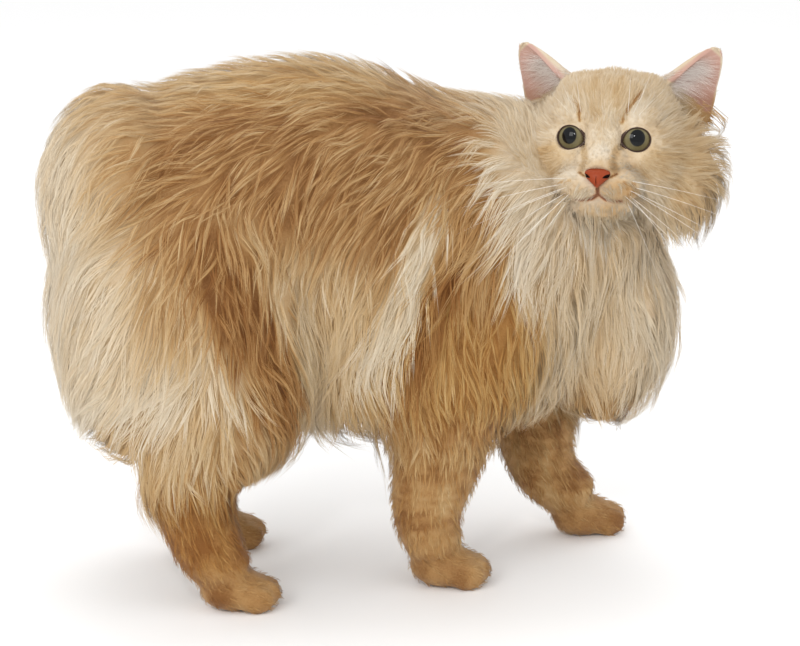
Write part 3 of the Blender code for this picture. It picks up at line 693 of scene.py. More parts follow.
def faceMarks(points):
    x, y, z = inHead(points).T
    side = np.abs(y)
    tone, gold = np.full(len(x), 0.22), np.full(len(x), 0.15)

    def lay(mask, newTone, newGold):
        nonlocal tone, gold
        tone, gold = tone + (newTone - tone) * mask, gold + (newGold - gold) * mask

    def spot(cx, cy, cz, r):
        return blend(1.2, 0.6, np.sqrt((x - cx) ** 2 + (side - cy) ** 2 + (z - cz) ** 2) / r)

    lay(0.8 * blend(0.6, 1.6, z) * blend(3.4, 1.2, side), 0.34, 0.2)  # forehead
    stripe = blend(0.3, 0.05, np.abs(side - 0.5 - 0.12 * (z - 1))) * blend(1.2, 1.8, z) * (x > 0)
    lay(0.35 * stripe, 0.62, 0.45)
    lay(spot(2.6, 1.7, 1.0, 0.85) * 0.9, 0.02, 0.1)  # pale over the eye
    lay(spot(3.2, 2.5, -1.7, 1.1) * 0.6, 0.46, 0.35)  # under the eye, outside
    cheekLine = blend(0.3, 0.05, np.abs(z + 1.1 + 0.35 * (side - 2.8))) * blend(2.6, 3.2, side)
    lay(0.5 * cheekLine, 0.6, 0.45)
    lay(spot(4.2, 1.1, -3.0, 1.4) * 0.9, 0.04 + 0.08 * (y > 0), 0.0)  # muzzle
    lay(spot(3.6, 0.8, -4.4, 1.6) * 0.9, 0.1, 0.0)  # chin
    lay(spot(4.6, 0.0, -1.4, 0.7) * 0.9, 0.02, 0.0)  # bridge of the nose
    flat = np.stack([side, z], 1)
    # painted shade: a tan line along the sides of the nose bridge, where the muzzle turns away
    bridgeShadeDistance = lineDistance(flat, [(0.98, -0.9), (0.72, -1.7), (0.95, -2.2)])
    lay(0.55 * blend(0.32, 0.1, bridgeShadeDistance) * (x > 2), 0.62, 0.3)
    for height in (-2.75, -3.05, -3.35):
        row = blend(0.12, 0.05, lineDistance(flat, [(1.25, height), (2.1, height - 0.15)]))
        lay(0.8 * row * blend(-0.3, 0.4, np.sin(side * 14 + height * 5)) * (x > 2.5), 0.95, 0.2)
    # painted shade: dark ends of the nostril slits, carried onto the fur
    nostrilEnd = lineDistance(flat, [(0.75, -2.5), (1.0, -2.34)])
    lay(0.9 * blend(0.1, 0.04, nostrilEnd) * (x > 3.5), 1.0, 0.1)
    lay(0.7 * blend(2.8, 4.2, y) * blend(2.4, 1.2, z), 0.5, 0.4)  # left cheek, away from the light
    lay(blend(2.4, 3.2, z) * blend(2.4, 3.2, side), 0.1, 0.15)  # ears
    lay(0.6 * blend(3.4, 4.8, -y), 0.22, 0.25)
    flat = np.stack([y, z], 1)
    for line in browLines:
        lay(0.85 * blend(0.12, 0.04, lineDistance(flat, line)) * (x > 0), 1.0, 0.2)
    smudge = blend(0.42, 0.15, np.hypot(y + 0.4, (z - 0.8) * 0.7)) * (x > 0)
    lay(0.6 * smudge, 0.75, 0.3)
    tone = tone + 0.08 * ripple(points, 0.45, 4) + 0.07 * ripple(points * [1, 1, 0.5], 0.28, 9)
    return tone, gold


def paintedFaceShade(points):
    # painted shade about the mouth and over the cat's left of the head, the side away from the light
    x, y, z = inHead(points).T
    mouth = blend(2.7, 1.6, np.sqrt((x - 3.9) ** 2 + (y - 0.4) ** 2 + (z + 3.3) ** 2))
    return mouth * (0.55 + 0.45 * blend(-0.4, 0.6, y)) + 0.35 * blend(1.5, 4.0, y) * inHeadShare(points)


def onEars(points, normals):
    # for each ear, the points on it, and how far they face the way its cup does
    local, turned = inHead(points), normals @ np.array(headFrame)[:3, :3]
    found = []
    for side in (-1, 1):
        inEar = moved(local, earFrame(side).inverted())
        here = (inEar[:, 2] > 0.35) & (np.abs(inEar[:, 1]) < 2.1) & (np.abs(inEar[:, 0]) < 1.4)
        found.append((here, turned @ np.array(earFrame(side))[:3, 0]))
    return found


def earBack(points, normals):
    # 1 on the back of an ear, 0 at its edge and elsewhere
    return np.maximum.reduce([here * blend(-0.1, -0.5, facing) for here, facing in onEars(points, normals)])


def markings(points, normals):
    tone, gold = bodyMarks(points, normals)
    share = inHeadShare(points)
    some = share > 0
    if some.any():
        faceTone, faceGold = faceMarks(points[some])
        tone[some] += (faceTone - tone[some]) * share[some]
        gold[some] += (faceGold - gold[some]) * share[some]
    backs = 0.8 * earBack(points, normals)
    tone, gold = tone + (0.42 - tone) * backs, gold + (0.35 - gold) * backs
    return np.clip(tone, 0, 1), np.clip(gold, 0, 1)


# Materials


def linear(colour):
    return [((c / 255 + 0.055) / 1.055) ** 2.4 if c > 10 else c / 255 / 12.92 for c in colour]


coatColours = {
    # by tone, from cream to brown
    "plain": [(220, 212, 198), (210, 195, 171), (198, 175, 140), (182, 150, 108), (138, 102, 62)],
    "gold": [(220, 208, 184), (210, 188, 150), (196, 166, 112), (182, 142, 84), (144, 98, 46)],
    # painted shade that darkens the strands' roots and the skin deep in the coat, on cream and on brown;
    # the skin's also gives the lips their darker colour
    "rootShadeTint": ((248, 236, 216), (222, 190, 150)),
    "skinShadeAndLipTint": ((226, 206, 178), (176, 140, 100)),
    "tipShade": 1.03,
    "varied": 0.07,
    "roughness": 0.65,
    "pink": (194, 156, 148),
}


def newMaterial(name, roughness, specular=0.3):
    material = bpy.data.materials.new(name)
    material.use_nodes = True
    shader = material.node_tree.nodes["Principled BSDF"]
    shader.inputs["Roughness"].default_value = roughness
    shader.inputs["Specular IOR Level"].default_value = specular
    return material, material.node_tree.nodes, material.node_tree.links, shader


def ramp(nodes, stops):
    made = nodes.new("ShaderNodeValToRGB")
    keys = made.color_ramp.elements
    while len(keys) < len(stops):
        keys.new(0.5)
    for key, (place, colour) in zip(keys, stops):
        key.position = place
        key.color = (*linear(colour), 1)
    return made


def mathNode(nodes, links, operation, *values):
    made = nodes.new("ShaderNodeMath")
    made.operation = operation
    for socket, value in zip(made.inputs, values):
        if isinstance(value, (int, float)):
            socket.default_value = value
        else:
            links.new(value, socket)
    return made.outputs[0]


def mixColour(nodes, links, factor, first, second, kind="MIX"):
    made = nodes.new("ShaderNodeMix")
    made.data_type = "RGBA"
    made.blend_type = kind
    for name, value in (("Factor_Float", factor), ("A_Color", first), ("B_Color", second)):
        socket = next(s for s in made.inputs if s.identifier == name)
        if isinstance(value, (int, float)):
            socket.default_value = value
        elif isinstance(value, (tuple, list)):
            socket.default_value = (*value[:3], 1)
        else:
            links.new(value, socket)
    return next(s for s in made.outputs if s.identifier == "Result_Color")


def noiseNode(nodes, links, scale, detail):
    where = nodes.new("ShaderNodeTexCoord")
    fine = nodes.new("ShaderNodeTexNoise")
    fine.inputs["Scale"].default_value = scale
    fine.inputs["Detail"].default_value = detail
    links.new(where.outputs["Object"], fine.inputs["Vector"])
    return fine.outputs["Fac"]


def bumpNode(nodes, links, height, shader, strength, distance):
    bump = nodes.new("ShaderNodeBump")
    bump.inputs["Strength"].default_value = strength
    bump.inputs["Distance"].default_value = distance
    links.new(height, bump.inputs["Height"])
    links.new(bump.outputs[0], shader.inputs["Normal"])


def coatMaterial(name, onSkin):
    # marks holds tone, gold, then how far along the strand or how pink, then for a strand its own random shade
    # less the painted face shade, or for the skin how far it is spared the painted shade tint
    material, nodes, links, shader = newMaterial(name, coatColours["roughness"], 0.16)
    marks = nodes.new("ShaderNodeAttribute")
    marks.attribute_name = "marks"
    parts = nodes.new("ShaderNodeSeparateColor")
    links.new(marks.outputs["Color"], parts.inputs[0])
    tone = parts.outputs["Red"]
    if onSkin:
        fine = noiseNode(nodes, links, 900, 3)
        tone = mathNode(nodes, links, "MULTIPLY_ADD", fine, 0.3, -0.1)
        tone = mathNode(nodes, links, "ADD", parts.outputs["Red"], tone)
        bumpNode(nodes, links, fine, shader, 0.35, 0.001)
    evenly = (0.0, 0.25, 0.5, 0.75, 1.0)
    plain, gold = (ramp(nodes, list(zip(evenly, coatColours[kind]))) for kind in ("plain", "gold"))
    links.new(tone, plain.inputs[0])
    links.new(tone, gold.inputs[0])
    colour = mixColour(nodes, links, parts.outputs["Green"], plain.outputs[0], gold.outputs[0])
    if onSkin:
        colour = mixColour(nodes, links, parts.outputs["Blue"], colour, linear(coatColours["pink"]))
        # painted shade: the skin deep in the coat and about the mouth takes this darker tint; the lips take it
        # as their own darker colour
        deep = mixColour(nodes, links, parts.outputs["Red"], *map(linear, coatColours["skinShadeAndLipTint"]))
        tint = mixColour(nodes, links, marks.outputs["Alpha"], deep, (1, 1, 1))
        colour = mixColour(nodes, links, 1.0, colour, tint, "MULTIPLY")
    else:
        varied = coatColours["varied"]
        least = coatColours["tipShade"] - varied / 2
        # the strand's random shade, less the painted face shade held in the same channel
        vary = mathNode(nodes, links, "MULTIPLY_ADD", marks.outputs["Alpha"], varied, least)
        grey = nodes.new("ShaderNodeCombineColor")
        for socket in grey.inputs[:3]:
            links.new(vary, socket)
        # painted shade at the roots, fading out towards the tips
        deep = mixColour(nodes, links, parts.outputs["Red"], *map(linear, coatColours["rootShadeTint"]))
        colour = mixColour(nodes, links, 1.0, colour, grey.outputs[0], "MULTIPLY")
        tint = mixColour(nodes, links, parts.outputs["Blue"], deep, (1, 1, 1))
        colour = mixColour(nodes, links, 1.0, colour, tint, "MULTIPLY")
    links.new(colour, shader.inputs["Base Color"])
    shader.inputs["Sheen Weight"].default_value = 0.12
    shader.inputs["Sheen Roughness"].default_value = 0.5
    return material


def writeMarks(mesh, tone, gold, third, fourth):
    marks = mesh.attributes.new("marks", "FLOAT_COLOR", "POINT")
    marks.data.foreach_set("color", np.stack([tone, gold, third, fourth], 1).astype(np.float32).ravel())


coatFinish = coatMaterial("coat", False)
skinFinish = coatMaterial("skin", True)


# Coat: tufts of closed three-sided strands. Each tuft is a few locks, and a strand is darker near its
# lock's edge: painted shade in place of the shadows between locks. The strands throw no shadows, which
# would leave hard gaps between them; the skin still does.

longRings, shortRings = (0, 0.34, 0.68, 1.0), (0, 0.5, 1.0)
coats = {
    # spacing of the tufts, places tried, strands in each, locks, spread of the roots, width of a strand,
    # how far the tips close up, unevenness, depth of the roots, how far tips may pass the outline, and some
    # of them more, share of the combed length, how far they rise to the outline, how much they leave the lie,
    # difference in tone between locks, painted shade along their edges, and where a strand has its rings
    "long": {
        "spacing": 0.7, "tries": 14000, "strands": 16, "locks": 3, "spread": 0.75, "width": 0.036,
        "gather": 0.15, "frizz": 0.05, "sink": 0.12, "proud": 0.15, "stray": 0.9,
        "length": 1.0, "rise": (0.8, 1.05), "jitter": 0.16, "mottle": 0.12, "edge": 0.4, "rings": longRings,
    },
    "under": {
        "spacing": 0.6, "tries": 14000, "strands": 9, "locks": 3, "spread": 0.6, "width": 0.06,
        "gather": 0.1, "frizz": 0.04, "sink": 0.1, "proud": 0.0, "stray": 0.0,
        "length": 0.8, "rise": (0.55, 0.85), "jitter": 0.16, "mottle": 0.08, "edge": 0.4, "rings": shortRings,
    },
    "mid": {
        "spacing": 0.45, "tries": 26000, "strands": 16, "locks": 2, "spread": 0.46, "width": 0.03,
        "gather": 0.1, "frizz": 0.04, "sink": 0.08, "proud": 0.1, "stray": 0.3,
        "length": 1.0, "rise": (0.8, 1.05), "jitter": 0.2, "mottle": 0.26, "edge": 0.75, "rings": shortRings,
    },
    "short": {
        "spacing": 0.36, "tries": 12000, "strands": 10, "locks": 2, "spread": 0.36, "width": 0.03,
        "gather": 0.2, "frizz": 0.02, "sink": 0.05, "proud": 0.06, "stray": 0.08,
        "length": 1.0, "rise": (0.45, 0.75), "jitter": 0.16, "mottle": 0.18, "edge": 0.5, "rings": shortRings,
    },
    "ruff": {
        "spacing": 0.5, "tries": 6000, "strands": 22, "locks": 4, "spread": 0.5, "width": 0.03,
        "gather": 0.2, "frizz": 0.04, "sink": 0.08, "proud": 0.1, "stray": 0.7,
        "length": 1.0, "rise": (0.7, 1.1), "jitter": 0.16, "mottle": 0.12, "edge": 0.5, "rings": longRings,
    },
    "face": {
        "spacing": 0.2, "tries": 22000, "strands": 13, "locks": 3, "spread": 0.24, "width": 0.019,
        "gather": 0.15, "frizz": 0.008, "sink": 0.03, "proud": 0.08, "stray": 0.08,
        "length": 1.0, "rise": (0.6, 1.0), "jitter": 0.1, "mottle": 0.12, "edge": 0.5, "rings": shortRings,
    },
}
pieceLimit = 196000


def scatter(surface, spacing, count, accept):
    # points spread over the surface, none nearer to another than the spacing
    corners = surface["points"][surface["triangles"]]
    areas = np.linalg.norm(np.cross(corners[:, 1] - corners[:, 0], corners[:, 2] - corners[:, 0]), axis=1)
    areas = areas * accept(corners.mean(1), surface["normals"])
    pick = chance.choice(len(areas), count, p=areas / areas.sum())
    u, v = chance.random((2, count, 1))
    flip = u + v > 1
    u, v = np.where(flip, 1 - u, u), np.where(flip, 1 - v, v)
    a, b, c = corners[pick].transpose(1, 0, 2)
    points = a + (b - a) * u + (c - a) * v
    cells, kept = {}, []
    for i, (x, y, z) in enumerate(points.tolist()):
        cell = (int(x // spacing), int(y // spacing), int(z // spacing))
        clear = True
        for dx in (-1, 0, 1):
            for dy in (-1, 0, 1):
                for dz in (-1, 0, 1):
                    for ox, oy, oz in cells.get((cell[0] + dx, cell[1] + dy, cell[2] + dz), ()):
                        if (x - ox) ** 2 + (y - oy) ** 2 + (z - oz) ** 2 < spacing * spacing:
                            clear = False
        if clear:
            cells.setdefault(cell, []).append((x, y, z))
            kept.append(i)
    return points[kept]


def walk(roots, lengths, lies, rises, jitter, proud, steps=7):
    # the middle line of each tuft, from the skin out to the outline of the coat
    place, normal, _ = nearest(skinSurface, roots)
    heading = unit(lies(place, normal) + jitter)
    point = place - normal * 0.1
    path, ups = [point], [normal]
    for k in range(1, steps):
        near, normal, _ = nearest(skinSurface, point)
        out, _, _ = nearest(shellSurface, point)
        room = np.maximum(np.linalg.norm(out - near, axis=1, keepdims=True), 0.1)
        height = ((point - near) * normal).sum(1, keepdims=True)
        t = k / (steps - 1)
        want = room * rises[:, None] * (1 - (1 - t) ** 1.7)
        step = lengths[:, None] / (steps - 1)
        steer = unit(lies(near, normal) + jitter) + normal * np.clip((want - height) / step, -0.7, 1.1)
        heading = unit(heading * 0.35 + unit(steer) * 0.65)
        point = point + heading * step
        path.append(point)
        ups.append(normal)
    paths = np.stack(path, 1)
    flat = paths.reshape(-1, 3)
    out, outward, _ = nearest(shellSurface, flat)
    beyond = ((flat - out) * outward).sum(1).reshape(-1, steps)
    stops = np.full(len(roots), 1.0)
    for k in range(steps - 1, 0, -1):
        over = beyond[:, k] > proud
        part = np.clip((proud - beyond[:, k - 1]) / np.maximum(beyond[:, k] - beyond[:, k - 1], 1e-6), 0, 1)
        stops[over] = ((k - 1 + part) / (steps - 1))[over]
    return paths, np.stack(ups, 1), np.maximum(stops, 0.2)


def atShare(lines, tufts, t):
    last = lines.shape[1] - 1
    x = np.clip(t, 0, 1) * last
    i = np.minimum(x.astype(int), last - 1)
    f = (x - i)[..., None]
    return lines[tufts[:, None], i] * (1 - f) + lines[tufts[:, None], i + 1] * f


def strandsOf(paths, ups, stops, settings):
    # points of every strand's rings and tip, with the tuft that each belongs to
    tuftCount, perTuft = len(paths), settings["strands"]
    tangents = unit(np.gradient(paths, axis=1))
    sides = unit(np.cross(tangents, ups))
    tufts = np.repeat(np.arange(tuftCount), perTuft)
    total = len(tufts)
    groups = chance.integers(0, settings["locks"], total)
    ofLocks = chance.random((4, tuftCount, settings["locks"]))
    groupSide, groupRise, groupReach, groupShade = ofLocks[:, tufts, groups]
    groupSide = (groupSide * 2 - 1) * settings["spread"] * 0.75
    groupRise = groupRise * 1.1 - 0.5
    groupReach = groupReach * 0.2 + 0.8
    fineSide = chance.normal(0, 0.3, total) * settings["spread"]
    fineBack = chance.uniform(-0.7, 0.7, total) * settings["spread"]
    reach = groupReach * chance.uniform(0.78, 1.06, total) * stops[tufts]
    t = np.array(settings["rings"])[None, :] * reach[:, None]
    middle, side, tangent, up = (atShare(lines, tufts, t) for lines in (paths, sides, tangents, ups))
    wide = groupSide[:, None] * (1 - settings["gather"] * t**0.9) + fineSide[:, None] * (1 - 0.9 * t**0.7)
    lift = (groupRise[:, None] + chance.normal(0, 0.35, total)[:, None]) * settings["spread"] * 0.3 * t
    points = middle + side * wide[..., None] + tangent * fineBack[:, None, None] + up * lift[..., None]
    points += chance.normal(0, settings["frizz"], points.shape) * t[..., None]
    near, normal, _ = nearest(skinSurface, points[:, 0])
    points += (near - normal * settings["sink"] - points[:, 0])[:, None] * ((1 - t) ** 2)[..., None]
    points[..., 2] = np.maximum(points[..., 2], 0.06)
    # light falls on a strand as on its rounded lock, so that the coat looks soft
    across = np.clip(wide / settings["spread"], -1, 1) * 0.3
    across = across + np.clip(fineSide / settings["spread"] / 0.5, -1, 1)[:, None] * 0.4
    facing = up + side * across[..., None] - tangent * 0.15 + np.array([0, 0, 0.25])
    facing = unit(facing + chance.normal(0, 0.04, (total, 1, 3)))
    # painted shade: strands near a lock's edge come out darker, on top of each lock's random tone
    edge = np.minimum(np.abs(fineSide) / settings["spread"] / 0.3, 2)
    darker = groupShade - 0.5 + settings["edge"] * (edge - 0.8)
    return points, up, tufts, t, facing, near, normal, darker


def strandMesh(points, ups, width):
    # each strand has three sides, a ring at all its stops but the last, and a tip there
    total, stops, _ = points.shape
    rings = stops - 1
    steps = np.diff(points, axis=1)
    tangents = unit(np.concatenate([steps[:, :1], steps[:, :-1] + steps[:, 1:]], 1))
    side = unit(np.cross(tangents, ups[:, :rings]))
    rise = np.cross(side, tangents)
    angle = np.radians([90, 210, 330])
    profile = np.array([0.8, 1.0, 0.7])[:rings] if rings < 4 else np.linspace(1.0, 0.35, rings)
    radius = (width / 2)[:, None] * profile[None]
    around = side[:, :, None] * np.cos(angle)[:, None] + rise[:, :, None] * np.sin(angle)[:, None] * 0.45
    corners = points[:, :rings, None] + around * radius[..., None, None]
    vertices = np.concatenate([corners.reshape(total, rings * 3, 3), points[:, -1:]], 1)
    quads, tip = [], rings * 3
    for k in range(rings - 1):
        for i in range(3):
            a, b = k * 3 + i, k * 3 + (i + 1) % 3
            quads.append((a, a + 3, b + 3, b))
    top = (rings - 1) * 3
    triangles = [(top + i, tip, top + (i + 1) % 3) for i in range(3)] + [(0, 1, 2)]
    return vertices, np.array(quads), np.array(triangles)


def addPiece(name, vertices, quads, triangles, marks, uv, material, slot, facing=None):
    total, perStrand, _ = vertices.shape
    base = (np.arange(total) * perStrand)[:, None, None]
    corners = np.concatenate([(rows[None] + base).reshape(total, -1) for rows in (quads, triangles)], 1)
    sizes = np.tile([4] * len(quads) + [3] * len(triangles), total)
    mesh = bpy.data.meshes.new(name)
    mesh.vertices.add(total * perStrand)
    world = vertices.reshape(-1, 3) * cm + np.array(shift)
    mesh.vertices.foreach_set("co", world.astype(np.float32).ravel())
    mesh.loops.add(corners.size)
    mesh.loops.foreach_set("vertex_index", corners.ravel().astype(np.int32))
    mesh.polygons.add(len(sizes))
    mesh.polygons.foreach_set("loop_start", (np.cumsum(sizes) - sizes).astype(np.int32))
    mesh.update(calc_edges=True)
    mesh.polygons.foreach_set("use_smooth", np.ones(len(sizes), bool))
    writeMarks(mesh, *(m.ravel() for m in marks))
    layer = mesh.uv_layers.new(name="OFBake")
    layer.uv.foreach_set("vector", uv.reshape(-1, 2)[corners.ravel()].astype(np.float32).ravel())
    mesh.materials.append(material)
    if facing is not None:
        mesh.normals_split_custom_set_from_vertices(facing.reshape(-1, 3).astype(np.float32))
    made = bpy.data.objects.new(name, mesh)
    bpy.context.scene.collection.objects.link(made)
    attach(made, "root")
    return made


# Unwrap of the skin's shape, where each tuft has its patch

def unwrapSkin():
    copy = bpy.data.objects.new("unwrap", body.data.copy())
    bpy.context.scene.collection.objects.link(copy)
    thin = copy.modifiers.new("thin", "DECIMATE")
    thin.ratio = 0.05
    settle(copy)
    bpy.context.view_layer.objects.active = copy
    copy.select_set(True)
    bpy.ops.object.mode_set(mode="EDIT")
    bpy.ops.mesh.select_all(action="SELECT")
    bpy.ops.uv.smart_project(angle_limit=math.radians(70), island_margin=0.004)
    bpy.ops.object.mode_set(mode="OBJECT")
    mesh = copy.data
    surface = surfaceOf(copy)
    loops = np.empty(len(mesh.loop_triangles) * 3, np.int32)
    mesh.loop_triangles.foreach_get("loops", loops)
    uv = np.empty(len(mesh.loops) * 2, np.float32)
    mesh.uv_layers[0].uv.foreach_get("vector", uv)
    surface["uv"] = uv.reshape(-1, 2)[loops.reshape(-1, 3)]
    bpy.data.objects.remove(copy)
    return surface


unwrapped = unwrapSkin()
print("unwrap", len(unwrapped["triangles"]), "triangles")


def uvAt(points):
    near, _, index = nearest(unwrapped, points)
    a, b, c = unwrapped["points"][unwrapped["triangles"][index]].transpose(1, 0, 2)
    whole = np.cross(b - a, c - a)
    area = np.maximum((whole * whole).sum(1), 1e-12)
    wb = (np.cross(near - a, c - a) * whole).sum(1) / area
    wc = (np.cross(b - a, near - a) * whole).sum(1) / area
    wa = 1 - wb - wc
    corners = unwrapped["uv"][index]
    return corners[:, 0] * wa[:, None] + corners[:, 1] * wb[:, None] + corners[:, 2] * wc[:, None]


patchSize = 0.003
# how strongly the painted face shade darkens the strands
faceShadeStrength = 4.5
palePieces = ("Bib", "Neck", "Cheek", "Face")


def growCoat(settings, roots, regions):
    place, normal, _ = nearest(skinSurface, roots)
    _, length = comb(place, normal)
    length = length * chance.uniform(0.82, 1.15, len(roots)) * settings["length"]
    rises = chance.uniform(*settings["rise"], len(roots))
    jitter = chance.normal(0, settings["jitter"], (len(roots), 3))
    proud = settings["proud"] + settings["stray"] * chance.random(len(roots)) ** 2
    # fuller behind the rump
    behind = blend(-12.5, -15, place[:, 0]) * blend(13, 14.5, place[:, 2]) * blend(19, 17, place[:, 2])
    proud, rises = proud + 1.0 * behind, rises + 0.3 * behind
    paths, ups, stops = walk(roots, length, lambda p, n: comb(p, n)[0], rises, jitter, proud)
    strands = strandsOf(paths, ups, stops, settings)
    points, strandUps, tufts, t, facing, rootPlace, rootNormal, groupShade = strands
    facing = np.concatenate([np.repeat(facing[:, :-1], 3, axis=1), facing[:, -1:]], 1)
    width = settings["width"] * chance.uniform(0.75, 1.2, len(points))
    vertices, quads, triangles = strandMesh(points, strandUps, width)
    tone, gold = markings(rootPlace, rootNormal)
    tone = tone + chance.normal(0, 0.03, len(roots))[tufts] + groupShade * settings["mottle"]
    count, perStrand = vertices.shape[:2]
    along = np.concatenate([np.repeat(t[:, :-1], 3, axis=1), t[:, -1:]], 1)
    tone = np.clip(tone + chance.normal(0, 0.015, count), 0, 1)
    # each strand's random shade, less painted shade about the mouth and on the left of the face
    shade = chance.random(count) - faceShadeStrength * paintedFaceShade(rootPlace)
    tone, gold, shade = (row[:, None].repeat(perStrand, 1) for row in (tone, gold, shade))
    number = np.tile(np.arange(settings["strands"]), len(roots)) / settings["strands"]
    root = uvAt(place)[tufts]
    across = root[:, :1] + number[:, None] * patchSize
    uv = np.stack([across.repeat(perStrand, 1), root[:, 1:] + along * patchSize], 2)
    perTriangle = len(quads) * 2 + len(triangles)
    names = regions(place, normal)
    for name in sorted(set(names)):
        inside = np.nonzero(names[tufts] == name)[0]
        pieces = math.ceil(len(inside) * perTriangle / pieceLimit)
        for k, chosen in enumerate(np.array_split(inside, pieces)):
            title = name if pieces == 1 else name + "ABCDEF"[k]
            slot = "coat_pale" if any(word in name for word in palePieces) else "coat_tan"
            marks = [row[chosen] for row in (tone, gold, along, shade)]
            form = (vertices[chosen], quads, triangles)
            made = addPiece(title, *form, marks, uv[chosen], coatFinish, slot, facing[chosen])
            made.visible_shadow = False
            print(f"  {title}: {len(chosen) * perTriangle} triangles")


def mouthDistance(local):
    return lineDistance(np.stack([np.abs(local[:, 1]), local[:, 2]], 1), mouthLine)


def eyeClear(points):
    # away from the openings of the eyes, the nose and the mouth
    local = inHead(points)
    clear = np.ones(len(points))
    for side in (-1, 1):
        inEye = moved(local, eyeFrame(side).inverted())
        wide, high = eye["opening"]
        near = np.hypot(inEye[:, 1] / (wide + 0.05), inEye[:, 2] / (high + 0.05)) < 1
        clear[near & (inEye[:, 0] > 0)] = 0
        clear[np.linalg.norm(inEye, axis=1) < eye["radius"] + 0.03] = 0
    fromNose = np.abs(local - np.array(nose["place"])) / (np.array(nose["size"]) + 0.05)
    clear[(fromNose**2).sum(1) < 1] = 0
    clear[(mouthDistance(local) < 0.09) & (local[:, 0] > 2)] = 0
    return clear


def earPart(points, normals):
    # 1 inside an ear's cup, 2 on its back, 0 elsewhere
    part = np.zeros(len(points), int)
    for here, facing in onEars(points, normals):
        part[here & (facing > 0.1)] = 1
        part[here & (facing <= 0.1)] = 2
    return part


def earRim(points):
    # 1 on the furry edge of an ear, 0 inside its cup
    local, share = inHead(points), np.zeros(len(points))
    heights, slides, wides, _ = np.array(ears["stations"]).T
    for side in (-1, 1):
        inEar = moved(local, earFrame(side).inverted())
        slide, wide = (np.interp(inEar[:, 2], heights, row) for row in (slides, wides))
        across = np.abs(inEar[:, 1] - slide * side) / wide
        here = (inEar[:, 2] > 0.2) & (np.abs(inEar[:, 0]) < 1.4) & (across < 1.3)
        share = np.maximum(share, here * np.maximum(blend(0.86, 0.95, across), blend(3.12, 3.25, inEar[:, 2])))
    return share


def longArea(points, normals):
    return (points[:, 2] > 8.6) * (inHeadShare(points) < 0.5) * (earPart(points, normals) == 0)


def midShare(points, normals):
    # where the hair is of middle length
    return comb(points, normals)[1] < 4.3


def shortArea(points, normals):
    return (points[:, 2] < 9.6) * (points[:, 2] > 0.25) * (normals[:, 2] > -0.8)


def headArea(points, normals):
    inside = (earPart(points, normals) == 1) & (earRim(points) < 0.4)
    return (inHeadShare(points) >= 0.5) * eyeClear(points) * ~inside


def ruffShare(points):
    x, y, z = inHead(points).T
    cheek = blend(2.9, 3.9, np.abs(y)) * blend(2.2, 0.6, z) * blend(2.8, 1.4, x)
    offEars = earPart(points, np.ones_like(points)) == 0
    return np.maximum.reduce([cheek, blend(-5.1, -5.7, z), blend(-1.5, -3.0, x)]) * offEars


def bodyRegion(points, normals):
    x, y, z = points.T
    names = np.where(y > 0, "coatFlankLeft", "coatFlankRight").astype("<U32")
    names[z > 26.3] = "coatBack"
    names[x < -12.8] = "coatRump"
    names[(z < 20) & (x < -5.5) & (y < 0)] = "coatThighRight"
    names[(z < 20) & (x < -5.5) & (y >= 0)] = "coatThighLeft"
    names[(x > 1.0) & (z < 22)] = "coatShoulders"
    names[(x > 9.5)] = "coatBib"
    names[(x > 3.5) & (z > 21)] = "coatNeck"
    names[(normals[:, 2] < -0.55) & (x < 9.5)] = "coatBelly"
    return names


def legRegion(points, normals):
    return np.where(points[:, 0] < -3, "coatHindLegs", "coatForeLegs").astype("<U24")


thin = 1.0
def named(title):
    return lambda points, normals: np.full(len(points), title, "<U24")


# for each coat, where it grows and the pieces that it goes to
growth = {
    "long": (lambda p, n: longArea(p, n) * ~midShare(p, n), bodyRegion),
    "under": (lambda p, n: longArea(p, n) * ~midShare(p, n), named("undercoat")),
    "mid": (lambda p, n: longArea(p, n) * midShare(p, n), lambda p, n: np.char.add(bodyRegion(p, n), "Mid")),
    "short": (shortArea, legRegion),
    "ruff": (lambda p, n: headArea(p, n) * (ruffShare(p) > 0.5), named("coatCheeks")),
    "face": (lambda p, n: headArea(p, n) * (ruffShare(p) <= 0.5), named("coatFace")),
}
print("growing the coat")
for kind, (area, regions) in growth.items():
    tries = int(coats[kind]["tries"] * thin)
    tuftRoots = scatter(skinSurface, coats[kind]["spacing"], tries, area)
    print(len(tuftRoots), kind, "tufts")
    growCoat(coats[kind], tuftRoots, regions)


# Skin finish
def finishSkin():
    points, normals = skinSurface["points"], skinSurface["vertexNormals"]
    tone, gold = markings(points, normals)
    pink = (earPart(points, normals) == 1) * 0.9 * (1 - earRim(points))
    local = inHead(points)
    lips = blend(0.17, 0.06, mouthDistance(local)) * (local[:, 0] > 2)
    pink = np.maximum(pink, 0.7 * lips)
    tone = np.maximum(tone, 0.8 * blend(0.12, 0.05, mouthDistance(local)) * (local[:, 0] > 2))
    # how far the skin is spared the painted shade tint: little on the body deep in the coat, more on the head
    # and legs; the lips take the tint as their darker colour, and the painted face shade adds more
    shade = 0.3 + 0.5 * inHeadShare(points) + 0.2 * blend(10, 7, points[:, 2])
    shade = shade - 0.5 * lips - 0.6 * paintedFaceShade(points)
    writeMarks(body.data, tone, gold, pink, shade)
    dress(body, skinFinish)
    putInPlace(body)
    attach(body, "root")


finishSkin()

# Eyes

eyeLook = {
    "iris": [
        (0.0, (86, 78, 54)),
        (0.5, (102, 94, 66)),
        (0.72, (122, 114, 84)),
        (0.88, (78, 68, 48)),
        (1.0, (32, 26, 21)),
    ],
    "pupil": (0.43, 0.47),
    "gaze": 0.1,
    "irisRadius": 0.86,
    "pupilColour": (8, 9, 12),
    "rim": (50, 34, 27),
    "rimWidth": 0.065,
}


